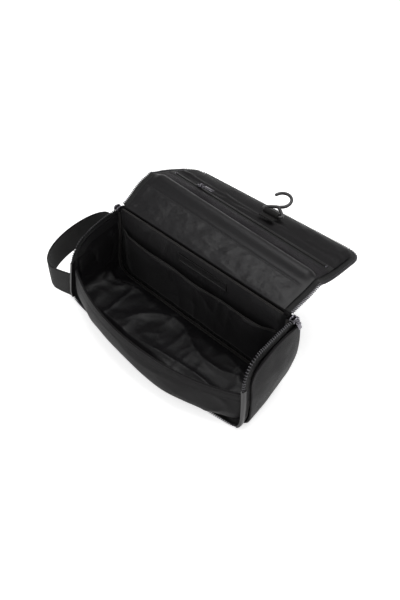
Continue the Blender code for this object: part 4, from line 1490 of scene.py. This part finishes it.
    def build_lining(self) -> None:
        """Satin lining of the ends and base, loose in big soft folds."""
        form = self.form
        surface = form.band_surface(3.3 * MM, self.facing + 0.6 * MM)
        cells = (190, 44)
        piece = lay_sheet("gusset_satin", surface, cells, Finish.SATIN)
        flip_faces(piece)
        u, v = grid_uv(cells)
        border = np.minimum(np.minimum(u, 1 - u) * 4.5, np.minimum(v, 1 - v))
        free = smooth(border / 0.16)
        start = coordinates(piece)
        wall = smooth((start[:, 2] - 0.012) / 0.03)
        base_folds = creases(start, 52 * MM, 43.0, (0.55, 1.15, 1.0))
        base_folds += 0.6 * creases(start, 40 * MM, 47.0, (1.3, 0.5, 1.0))
        end_folds = creases(start, 34 * MM, 52.0, (1.0, 1.25, 0.45))
        sag = 0.5 + 0.5 * turbulence(start, 22.0, 44.0, 2)
        lift_cloth(piece, -free * ((1 - wall) * (3.4 * base_folds + 2.8 * sag)
                                   + wall * (3.2 * end_folds + 0.8 * sag)) * MM)
        declare_sheet(piece, "gathered", ["gusset_cloth"])
        thicken(piece, 0.5 * MM, 1.0)
        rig.replaces(piece, "gusset_lining")
        ride(piece, "bag_body", "satin_lining")
        for side, order in (("left", 1), ("right", -1)):
            frames = form.relaxed(form.edge_frames(20)[::order][:38])
            strip = ribbon(f"facing_{side}_cloth", frames, (-self.facing - 0.4 * MM, 1.0 * MM),
                           (3.0 * MM, 4.1 * MM), Finish.SATIN, 0.0)
            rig.replaces(strip, f"facing_{side}")
            ride(strip, "bag_body", "outer_fabric")

    def build_back_lining(self) -> None:
        """Back wall lining, slip pocket with its hem, seam binding and the blank patch."""
        form = self.form
        inner_y = form.back_y - 4.2 * MM
        top = self.hinge[2] - 1.6 * MM
        piece = lay_sheet("back_satin", self.back_surface(inner_y, 3.2 * MM, top), (130, 52),
                          Finish.SATIN)
        u, v = grid_uv((130, 52))
        free = smooth(np.minimum(np.minimum(u, 1 - u) * 2.2, np.minimum(v, 1 - v)) / 0.1)
        lift_cloth(piece, 1.2 * MM * free * creases(coordinates(piece), 40 * MM, 33.0,
                                                    (1.0, 1.0, 0.6)))
        declare_sheet(piece, "stretched", ["back_panel_cloth"])
        thicken(piece, 0.5 * MM, -1.0)
        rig.replaces(piece, "back_lining")
        ride(piece, "bag_body", "satin_lining")
        self.build_slip_pocket()
        self.build_binding()
        self.build_patch()

    def build_slip_pocket(self) -> None:
        """Slip pocket on the back wall, its mouth a little slack."""
        low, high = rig.box("slip_pocket")
        y, half = high[1], high[0]
        foot, top = low[2], high[2]

        def surface(u: Array, v: Array) -> Array:
            w = 2 * u - 1
            z = foot + v * (top - foot)
            near = np.maximum(0.0, 12 * MM - (z - foot))
            reach = half - 12 * MM + np.sqrt(np.maximum(0, (12 * MM) ** 2 - near ** 2))
            sag = 3.5 * MM * (1 - w ** 2) * v ** 3
            slack = 1.6 * MM * (1 - w ** 4) * v * (1.0 + 0.6 * np.sin(9 * w + 1.0))
            back = 4.5 * MM * smooth((np.abs(w) - 0.86) / 0.14) + 4.5 * MM * smooth(
                (0.10 - v) / 0.10)
            return np.stack([w * reach, y - slack + back, z - sag], axis=1)

        cells = (120, 34)
        piece = lay_sheet("slip_pocket_satin", surface, cells, Finish.SATIN)
        u, v = grid_uv(cells)
        free = smooth(np.minimum(np.minimum(u, 1 - u) * 3, np.minimum(v, (1 - v) * 2)) / 0.12)
        lift_cloth(piece, 1.6 * MM * free * creases(coordinates(piece), 38 * MM, 27.0,
                                                    (1.0, 1.0, 0.55)))
        declare_sheet(piece, "stretched", ["back_satin"])
        thicken(piece, 0.6 * MM, 0.0)
        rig.replaces(piece, "slip_pocket")
        ride(piece, "bag_body", "satin_lining")
        u = np.linspace(0.0, 1.0, 90)
        rim = surface(u, np.ones_like(u)) + np.array([0, 0, 1.0 * MM])
        hem = round_tube("slip_pocket_edge", rim, 1.5 * MM, Finish.BINDING, 10, 0.45,
                         np.array([0.0, 1.0, 0.0]))
        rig.replaces(hem, "slip_pocket_hem")
        ride(hem, "bag_body", "binding_tape")

    def build_binding(self) -> None:
        """Tape folded over the seam allowance where band and back panel meet."""
        path = self.seam_path(self.form.cloth_back - 3.4 * MM, 5.4 * MM, 100 * MM, 170)
        waver = turbulence(path, 30.0, 9.0) * 1.0 * MM
        path = path + np.stack([np.zeros_like(waver), -np.abs(waver), waver * 0.3], axis=1)
        piece = round_tube("seam_binding_tape", path, 3.2 * MM, Finish.BINDING, 14, 0.36,
                           np.array([0.0, 1.0, 0.05]))
        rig.replaces(piece, "back_seam_binding")
        ride(piece, "bag_body", "binding_tape")

    def build_patch(self) -> None:
        """Blank patch with a raised frame, sewn to the back wall under the hinge."""
        low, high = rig.box("blank_patch")
        low, high = np.array(low), np.array(high)
        deselect()
        bpy.ops.mesh.primitive_cube_add(size=1.0, location=tuple((low + high) / 2))
        piece = bpy.context.active_object
        piece.name = piece.data.name = "blank_patch_plate"
        bpy.ops.object.mode_set(mode="EDIT")
        bpy.ops.mesh.select_all(action="SELECT")
        bpy.ops.transform.resize(value=tuple(high - low))
        bpy.ops.mesh.select_all(action="DESELECT")
        bpy.ops.object.mode_set(mode="OBJECT")
        front = [p for p in piece.data.polygons if p.normal.y < -0.9]
        for polygon in piece.data.polygons:
            polygon.select = polygon in front
        bpy.ops.object.mode_set(mode="EDIT")
        bpy.ops.mesh.select_mode(type="FACE")
        bpy.ops.mesh.inset(thickness=1.3 * MM, depth=0.0)
        bpy.ops.mesh.inset(thickness=0.35 * MM, depth=-0.55 * MM)
        bpy.ops.object.mode_set(mode="OBJECT")
        bpy.ops.object.transform_apply(location=True, rotation=True, scale=True)
        bevel = piece.modifiers.new("soft edges", "BEVEL")
        bevel.width = 0.25 * MM
        bevel.segments = 2
        apply_modifiers(piece)
        add_flat_uvs(piece)
        finish_piece(piece, Finish.PATCH, 35.0)
        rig.replaces(piece, "blank_patch")
        ride(piece, "bag_body", "patch")

    def build_zip(self) -> None:
        """Tape and teeth round the ends and the front of the base, with smooth edge strips whose paler colour is a
        painted reflection.
        """
        form = self.form
        chain = ZipChain()
        frames = form.relaxed(form.edge_frames(20))
        tape = chain.build_tape("body_zip_cloth", frames)
        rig.replaces(tape, "body_zip_tape")
        ride(tape, "bag_body", "zip_tape")
        teeth = chain.build("body_zip_chain", frames, 4.0 * MM)
        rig.replaces(teeth, "body_zip_teeth")
        ride(teeth, "bag_body", "zip_teeth")
        for side, order in (("left", 1), ("right", -1)):
            run = form.relaxed(form.edge_frames(20)[::order])
            part = [f for f in run[:90] if f[0][2] > 3 * MM and f[0][2] < 63 * MM
                    and f[0][1] < form.front_y + 0.02]
            # The guard strips are painted paler than the tape: a painted reflection on the tape's face.
            guard = ribbon(f"zip_guard_{side}", part, (3.6 * MM, 9.4 * MM),
                           (0.9 * MM, 3.6 * MM), Finish.EDGE_FILM, 0.5 * MM)
            ride(guard, "bag_body", "zip_tape")
        self.build_sliders(frames)

    def build_sliders(self, frames: Sequence[Frame]) -> None:
        """Slider and hanging puller at each end of the zip."""
        slider = ZipSlider()
        for side, order in (("left", 1), ("right", -1)):
            run = frames[::order]
            (point, out, normal), (following, _, _) = run[1], run[3]
            along = unit(following - point)
            out = unit(out - np.dot(out, along) * along)
            normal = unit(np.cross(along, out)) * (1.0 if order > 0 else -1.0)
            normal = normal if np.dot(normal, run[1][2]) > 0 else -normal
            centre = point + 7.4 * MM * out - 2.2 * MM * normal
            body = slider.build_body(f"slider_{side}_casting",
                                     slider.seat(centre, along, normal))
            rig.replaces(body, f"slider_{side}")
            ride(body, f"slider_{side}_body", "gunmetal")
            down = unit(np.array([0.15 * normal[0], 0.35, -1.0]))
            pin = centre + 5.0 * MM * normal - 1.0 * MM * out
            pull = slider.build_puller(f"puller_{side}_casting",
                                       slider.seat(pin, down, unit(np.cross(down, np.cross(
                                           normal, down)))))
            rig.replaces(pull, f"puller_{side}")
            ride(pull, f"puller_{side}_body", "gunmetal")


# --------------------------------------------------------------------------- lid and flap

@dataclass
class LidAndFlap:
    """The lid, the flap that folds off it, and everything sewn to them."""

    panels: Panels
    corner: float = 15 * MM

    def build(self) -> None:
        """Build both panels and their trim."""
        self.build_outer()
        self.build_satin()
        self.build_hinge()
        self.build_side_zips()
        self.build_flap_zip()
        self.build_mesh_pocket()
        self.build_facing()

    def crossing(self) -> dict[str, tuple]:
        """Start and end points of the bend over the fold."""
        panels = self.panels
        a = np.array([panels.lid_length - panels.tangent - 3 * MM,
                      panels.flap_a(3 * MM) + panels.tangent])
        points, _ = panels.profile(a)
        return {"start": tuple(points[0]), "end": tuple(points[1])}

    def build_outer(self) -> None:
        """Outer cloth and foam, in one sheet from the hinge over the fold to the zip."""
        panels = self.panels
        half = panels.width / 2 - panels.edge + 1.0 * MM
        end = panels.flap_a(panels.flap_length - panels.edge + 1.0 * MM)
        surface = panels.sheet(3.2 * MM, end, half, -2.0 * MM, self.corner)
        piece = lay_sheet("lid_and_flap_cloth", surface, (110, 70), Finish.SHELL)
        points = coordinates(piece)
        ripple = turbulence(points, 24.0, 31.0) * 0.7 * MM
        flip_faces(piece)
        place_vertices(piece, points + normals(piece) * np.abs(ripple)[:, None])
        thicken(piece, 2.4 * MM)
        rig.replaces(piece, "lid_outer", "lid_foam", "flap_outer", "flap_foam")
        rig.slot(piece, "outer_fabric")
        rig.padded(piece, fill=0.3)
        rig.blend(piece, "lid", "flap", **self.crossing())

    def build_satin(self) -> None:
        """Satin lining of the lid, rolling over the fold to the mesh pocket."""
        panels = self.panels
        half = panels.width / 2 - panels.edge - 0.5 * MM
        end = panels.flap_a(9 * MM)
        cells = (170, 56)
        piece = lay_sheet("lid_satin", panels.sheet(1.2 * MM, end, half, 1.6 * MM), cells,
                          Finish.SATIN)
        u, v = grid_uv(cells)
        start = coordinates(piece)
        sides = smooth(np.minimum(u, 1 - u) / 0.05)
        ridge_at = (panels.lid_length + 1 * MM) / end
        roll = 4.2 * MM * np.exp(-((v - ridge_at) / 0.13) ** 2) * sides
        seam = -0.9 * MM * np.exp(-((v - 0.70 * ridge_at) / 0.018) ** 2) * sides
        puff = 1.6 * MM * np.sin(math.pi * np.clip(v / ridge_at, 0, 1)) * sides
        mottled = smooth((0.72 * ridge_at - v) / 0.12) * smooth(v / 0.08) * sides
        lumps = mottled * (0.5 * creases(start, 26 * MM, 61.0, (0.8, 1.3, 1.0))
                           + 0.7 * turbulence(start, 60.0, 65.0, 4)) * MM
        lift_cloth(piece, roll + seam + puff + lumps)
        declare_sheet(piece, "stretched", ["lid_and_flap_cloth"])
        thicken(piece, 0.5 * MM, 1.0)
        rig.replaces(piece, "lid_lining", "fold_piping")
        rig.slot(piece, "satin_lining")
        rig.blend(piece, "lid", "flap", **self.crossing())

    def build_hinge(self) -> None:
        """Cloth hinge behind, and the thin bound seam in front of it."""
        panels = self.panels
        half = panels.width / 2 - panels.edge
        x = np.linspace(-half, half, 60)
        path = np.stack([x, np.full_like(x, panels.hinge[1] - 2.6 * MM),
                         np.full_like(x, panels.hinge[2] - 0.4 * MM)], axis=1)
        path = panels.relax(path)
        seam = round_tube("hinge_seam_edge", path, 1.1 * MM, Finish.BINDING, 10)
        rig.replaces(seam, "hinge_piping")
        ride(seam, "bag_body", "binding_tape")

        back_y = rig.box("back_outer")[1][1]
        start = np.array([0, back_y + 0.4 * MM, panels.hinge[2] - 9 * MM])

        def surface(u: Array, v: Array) -> Array:
            turn = smooth((v - 0.35) / 0.4)
            bottom = start[None, :] + np.stack([0 * v, 0 * v, v * 0.018], axis=1)
            lid_points, _ = panels.profile(np.maximum(0.0, (v - 0.4)) * 0.022 + 1 * MM, -2.4 * MM)
            points = bottom * (1 - turn[:, None]) + lid_points * turn[:, None]
            points[:, 0] = (2 * u - 1) * (half + 1 * MM)
            points[:, 0] += 6.0 * MM * smooth((u - 0.9) / 0.1)
            points[:, 0] += (panels.relax(points) - points)[:, 0] * turn
            return points

        piece = lay_sheet("hinge_cloth", surface, (80, 16), Finish.SHELL)
        declare_sheet(piece, "stretched", ["back_panel_cloth", "lid_and_flap_cloth"])
        thicken(piece, 0.9 * MM, 0.0)
        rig.slot(piece, "outer_fabric")
        first = start + np.array([0, 0, 4 * MM])
        last, _ = panels.profile(np.array([7.0 * MM]))
        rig.blend(piece, "bag_body", "lid", start=tuple(first), end=tuple(last[0]))

    def build_side_zips(self) -> None:
        """Zip halves on the lid's two short sides."""
        panels = self.panels
        chain = ZipChain(tape_depth=(-0.35 * MM, 0.35 * MM), level=0.0)
        for side, sign in (("left", -1), ("right", 1)):
            frames = panels.side_frames(sign, 3.0 * MM, panels.flap_a(4 * MM), 40)
            tape = chain.build_tape(f"lid_zip_cloth_{side}", frames)
            teeth = chain.build(f"lid_zip_chain_{side}", frames, 0.5 * MM)
            for piece, old, slot in ((tape, "tape", "zip_tape"), (teeth, "teeth", "zip_teeth")):
                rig.replaces(piece, f"lid_zip_{old}_{side}")
                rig.slot(piece, slot)
                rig.blend(piece, "lid", "flap", **self.crossing())

    def build_flap_zip(self) -> None:
        """Zip half round the flap's free sides."""
        chain = ZipChain(tape_depth=(-0.35 * MM, 0.35 * MM), level=0.0)
        frames = self.panels.flap_frames(self.corner)
        tape = chain.build_tape("flap_zip_cloth", frames)
        teeth = chain.build("flap_zip_chain", frames, 0.5 * MM)
        for piece, old, slot in ((tape, "tape", "zip_tape"), (teeth, "teeth", "zip_teeth")):
            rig.replaces(piece, f"flap_zip_{old}")
            ride(piece, "flap", slot)

    def build_mesh_pocket(self) -> None:
        """Mesh pocket with its coil zip, and the lining behind it."""
        panels = self.panels
        half = panels.width / 2 - panels.edge - 0.5 * MM
        backing = lay_sheet("flap_satin", panels.sheet(
            panels.flap_a(3 * MM), panels.flap_a(panels.flap_length - panels.edge), half,
            1.0 * MM, self.corner), (90, 40), Finish.SATIN)
        declare_sheet(backing, "stretched", ["lid_and_flap_cloth"])
        thicken(backing, 0.5 * MM, 1.0)
        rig.replaces(backing, "flap_backing")
        ride(backing, "flap", "satin_lining")

        start, end = panels.flap_a(4.5 * MM), panels.flap_a(27.0 * MM)
        base = panels.sheet(start, end, half, 2.0 * MM)
        cells = (150, 34)
        mesh = lay_sheet("mesh_pocket_knit", base, cells, Finish.MESH)
        u, v = grid_uv(cells)
        points = coordinates(mesh)
        w = 2 * u - 1
        puff = 4.2 * (1 - w ** 6) * np.sin(math.pi * v) ** 0.8 * (
            0.75 + 0.45 * turbulence(points * np.array([1, 0.4, 0.4]), 16.0, 71.0))
        free = smooth(np.minimum(np.minimum(u, 1 - u) * 4, np.minimum(v, 1 - v)) / 0.15)
        line = 1.4 * creases(points, 26 * MM, 74.0, (0.3, 1.0, 1.0)) * free
        lift_cloth(mesh, np.maximum(puff + line, 0.2) * MM)
        declare_sheet(mesh, "stretched", ["flap_satin"])
        thicken(mesh, 0.5 * MM, 1.0)
        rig.replaces(mesh, "mesh_pocket")
        ride(mesh, "flap", "mesh")
        self.build_pocket_zip(half)

    def build_pocket_zip(self, half: float) -> None:
        """Tape and nylon coil of the pocket zip."""
        panels = self.panels
        middle = panels.flap_a(31.5 * MM)
        x = np.linspace(-half, half, 90)
        points, up = panels.profile(np.full_like(x, middle))
        points[:, 0] = x
        along = np.array([0, math.cos(panels.flap_angle), math.sin(panels.flap_angle)])
        frames = panels.relaxed([(p, along, n) for p, n in zip(points, up)])
        tape = ribbon("pocket_zip_cloth", frames, (-5.4 * MM, 5.4 * MM),
                      (-2.7 * MM, -1.9 * MM), Finish.ZIP_TAPE)
        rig.replaces(tape, "pocket_zip_tape")
        ride(tape, "flap", "zip_tape")
        chain = ZipChain(pitch=1.5 * MM, near=-1.3 * MM, reach=2.6 * MM, tall=1.5 * MM,
                         long=1.0 * MM, level=-3.2 * MM)
        coil = chain.build("pocket_zip_coil_turns", frames, 6.5 * MM, Finish.COIL)
        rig.replaces(coil, "pocket_zip_coil")
        ride(coil, "flap", "zip_coil")
        slider = ZipSlider(half_wide=3.2 * MM, puller=17 * MM, puller_half=3.2 * MM)
        place, up = panels.profile(np.array([middle]), 3.2 * MM)
        place[:, 0] = -76 * MM
        point, _, normal = panels.relaxed([(place[0], along, up[0])])[0]
        travel = unit(np.cross(along, normal))
        travel = travel if travel[0] > 0 else -travel
        body = slider.build_body("pocket_slider_casting", slider.seat(point, travel, normal))
        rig.replaces(body, "pocket_slider")
        ride(body, "pocket_slider_body", "gunmetal")
        pin = point + 3.5 * MM * travel + 4.6 * MM * normal
        pull = slider.build_puller("pocket_puller_casting", slider.seat(pin, travel, normal))
        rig.replaces(pull, "pocket_puller")
        ride(pull, "pocket_puller_body", "gunmetal")
        for side, x in (("left", -half + 6.9 * MM), ("right", half - 6.9 * MM)):
            place[:, 0] = x
            point, _, normal = panels.relaxed([(place[0], along, up[0])])[0]
            travel = unit(np.cross(along, normal))
            stop = slider.build_stop(f"pocket_stop_{side}", slider.seat(point, travel, normal))
            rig.replaces(stop, f"pocket_zip_stop_{side}")
            ride(stop, "flap", "gunmetal")

    def build_facing(self) -> None:
        """Outer cloth along the flap's far edge, with a sewn ridge and soft folds."""
        panels = self.panels
        half = panels.width / 2 - panels.edge + 0.5 * MM
        start = panels.flap_a(36.2 * MM)
        end = panels.flap_a(panels.flap_length - panels.edge + 0.5 * MM)
        surface = panels.sheet(start, end, half, 1.9 * MM, self.corner)
        cells = (150, 30)
        piece = lay_sheet("flap_facing_cloth", surface, cells, Finish.SHELL)
        u, v = grid_uv(cells)
        points = coordinates(piece)
        ridge = 1.1 * MM * np.exp(-((v - 0.30) / 0.07) ** 2)
        puff = 1.3 * MM * np.sin(math.pi * np.clip((v - 0.35) / 0.65, 0, 1))
        noise_part = 1.5 * MM * creases(points, 30 * MM, 81.0, (0.45, 1.0, 1.0))
        border = smooth(np.minimum(np.minimum(u, 1 - u) * 6, np.minimum(v, 1 - v)) / 0.12)
        lift = (ridge + puff + noise_part) * border
        lift_cloth(piece, lift)
        declare_sheet(piece, "stretched", ["lid_and_flap_cloth"])
        thicken(piece, 0.9 * MM, 1.0)
        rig.replaces(piece, "flap_facing")
        ride(piece, "flap", "outer_fabric")


# --------------------------------------------------------------------------- hook and handle

@dataclass
class Hook:
    """Moulded hanging hook on a webbing tab."""

    pivot: Array
    rise: float = math.radians(10)
    rod: float = 2.0 * MM
    half_bar: float = 14 * MM
    shoulder: tuple[float, float] = (13 * MM, 4.5 * MM)
    apex: float = 12.5 * MM
    ring: float = 11.5 * MM
    offset: float = -3.5 * MM

    def place(self, route: Array) -> Array:
        """Place points of the hook's own plane in the frame."""
        up = np.array([0, math.cos(self.rise), math.sin(self.rise)])
        return self.pivot + route[:, :1] * np.array([1.0, 0, 0]) + route[:, 1:] * up

    def normal(self) -> Array:
        """Return the normal of the hook's plane."""
        return np.array([0, -math.sin(self.rise), math.cos(self.rise)])

    def smooth_run(self, corners: Sequence[tuple[float, float]]) -> Array:
        """Round a run of corners into a smooth route."""
        points = np.array(corners)
        for _ in range(3):
            low = 0.75 * points[:-1] + 0.25 * points[1:]
            high = 0.25 * points[:-1] + 0.75 * points[1:]
            middle = np.empty((2 * len(low), 2))
            middle[0::2], middle[1::2] = low, high
            points = np.vstack([points[:1], middle, points[-1:]])
        return points

    def build(self) -> None:
        """Build the triangle and the ring."""
        sx, sw = self.shoulder
        start, end = math.radians(-62), math.radians(165)
        arc = [(self.offset + self.ring * math.cos(t), self.apex + self.ring
                + self.ring * math.sin(t)) for t in np.linspace(start, end, 48)]
        bar = self.half_bar
        triangle = self.smooth_run([(0.0, 0.0), (bar, 0.0), (sx, sw), (0.8 * MM, self.apex),
                                    (-0.8 * MM, self.apex), (-sx, sw), (-bar, 0.0),
                                    (0.0, 0.0)])
        stem = self.smooth_run([(0.0, self.apex - 0.8 * MM), arc[0], arc[3]])
        ring_route = np.vstack([stem[:-1], np.array(arc[3:])])
        pieces = []
        for name, route in (("hook_base", triangle), ("hook_ring", ring_route)):
            path = self.place(route)
            pieces.append(round_tube(name, path, self.rod, Finish.HOOK, 16, 1.0, self.normal()))
        base = pieces[0]
        deselect()
        for piece in pieces:
            piece.select_set(True)
        bpy.context.view_layer.objects.active = base
        bpy.ops.object.join()
        base.name = base.data.name = "hanging_hook_moulding"
        finish_piece(base, Finish.HOOK, 50.0)
        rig.replaces(base, "hanging_hook")
        ride(base, "hook", "hook_plastic")

    def build_tab(self, panels: Panels) -> None:
        """Webbing tab rolled round the hook's bar and sewn to the facing."""
        low, high = (np.array(c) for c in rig.box("hook_tab"))
        half = (high[0] - low[0]) / 2
        centre_x = (high[0] + low[0]) / 2
        along = np.array([0, math.cos(panels.flap_angle), math.sin(panels.flap_angle)])
        up = np.array([0, -math.sin(panels.flap_angle), math.cos(panels.flap_angle)])
        outer = self.rod + 1.4 * MM
        rolled = 0.72

        def surface(u: Array, v: Array) -> Array:
            first, last = math.radians(-75), math.radians(225)
            angle = first + np.clip(v / rolled, 0, 1) * (last - first)
            tail = np.clip((v - rolled) / (1 - rolled), 0, 1)
            a = np.where(v > rolled, outer * math.cos(last) - tail * 9 * MM,
                         outer * np.cos(angle))
            h = np.where(v > rolled, outer * math.sin(last) - smooth(tail) * 1.2 * MM,
                         outer * np.sin(angle))
            x = centre_x + (2 * u - 1) * half
            base = self.pivot[None, :] * np.array([0, 1, 1])
            return base + x[:, None] * np.array([1.0, 0, 0]) + a[:, None] * along + h[
                :, None] * up

        piece = lay_sheet("hook_tab_webbing", surface, (24, 46), Finish.WEBBING)
        declare_sheet(piece, "folded", ["flap_facing_cloth"])
        thicken(piece, 1.2 * MM, 0.0)
        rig.replaces(piece, "hook_tab")
        ride(piece, "flap", "webbing")


@dataclass
class Handle:
    """Webbing loop on the left end."""

    width: float = 39 * MM
    thickness: float = 1.7 * MM
    top: tuple[float, float] = (93 * MM, 40 * MM)
    tuck: float = 1.5 * MM
    plan: tuple[tuple[float, float], ...] = (
        (-138.5 * MM, 33.0 * MM), (-180.5 * MM, 57.0 * MM),
        (-213.5 * MM, -85.0 * MM), (-147.5 * MM, -40.0 * MM))

    def build(self, form: BodyForm) -> None:
        """Sweep the webbing from the back seam to the front seam, and land it there.

        Args:
            form: the body whose left end the webbing is sewn to.
        """
        p = np.array(self.plan)
        t = np.linspace(0, 1, 90)[:, None]
        centre = ((1 - t) ** 3 * p[0] + 3 * t * (1 - t) ** 2 * p[1]
                  + 3 * t * t * (1 - t) * p[2] + t ** 3 * p[3])
        t = t[:, 0]
        tops = self.top[0] + (self.top[1] - self.top[0]) * t * (0.2 + 0.8 * t * (3 - 2 * t))

        def surface(u: Array, v: Array) -> Array:
            x = np.interp(v, t, centre[:, 0])
            y = np.interp(v, t, centre[:, 1])
            z = np.interp(v, t, tops) - u * self.width
            bulge = 0.8 * MM * np.sin(math.pi * u) * np.sin(math.pi * v)
            points = np.stack([x - bulge, y, z], axis=1)
            for depth, grip in ((form.front_y + 3.0 * MM, smooth((v - 0.86) / 0.14)),
                                (self.plan[0][1], 1 - smooth(v / 0.12))):
                seam = form.relax(np.stack([np.full_like(z, self.tuck - form.width / 2),
                                            np.full_like(z, depth), z], axis=1))
                seam[:, 2] = z
                points += (seam - points) * grip[:, None]
            return points

        piece = lay_sheet("handle_webbing", surface, (18, 120), Finish.WEBBING)
        declare_sheet(piece, "hung", ["gusset_cloth"])
        thicken(piece, self.thickness, 0.0)
        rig.replaces(piece, "handle_strap")
        ride(piece, "bag_body", "webbing")


# --------------------------------------------------------------------------- assembly

def joint_place(frame: dict, name: str) -> Array:
    """Return a joint's position in the frame."""
    for joint in frame["record"]["behaviour"]["joints"]:
        if joint["name"] == name:
            return np.array(joint["pos_m"], dtype=float)
    raise LookupError(name)


def main() -> None:
    """Load the frame and build the bag."""
    logging.basicConfig(level=logging.INFO, format="%(message)s")
    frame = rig.load()
    cad_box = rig.bounds()
    Studio().build()
    hinge = joint_place(frame, "lid_hinge")
    fold = joint_place(frame, "flap_fold")
    lid = fold - hinge
    panels = Panels(hinge=hinge, lid_angle=math.atan2(lid[2], lid[1]),
                    flap_angle=math.radians(-19), lid_length=float(np.linalg.norm(lid)))
    form = BodyForm()
    Body(form, hinge).build()
    LOG.info("body built")
    LidAndFlap(panels).build()
    LOG.info("lid and flap built")
    hook = Hook(joint_place(frame, "hook_pivot"))
    hook.build()
    hook.build_tab(panels)
    Handle().build(form)
    LOG.info("trim built")
    boxes = {"cad": [list(map(float, c)) for c in cad_box],
             "visual": [list(map(float, c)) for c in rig.bounds()]}
    with open("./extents.json", "w", encoding="utf-8") as out:
        json.dump(boxes, out)
    LOG.info("size: %s", boxes)


if __name__ == "__main__":
    main()
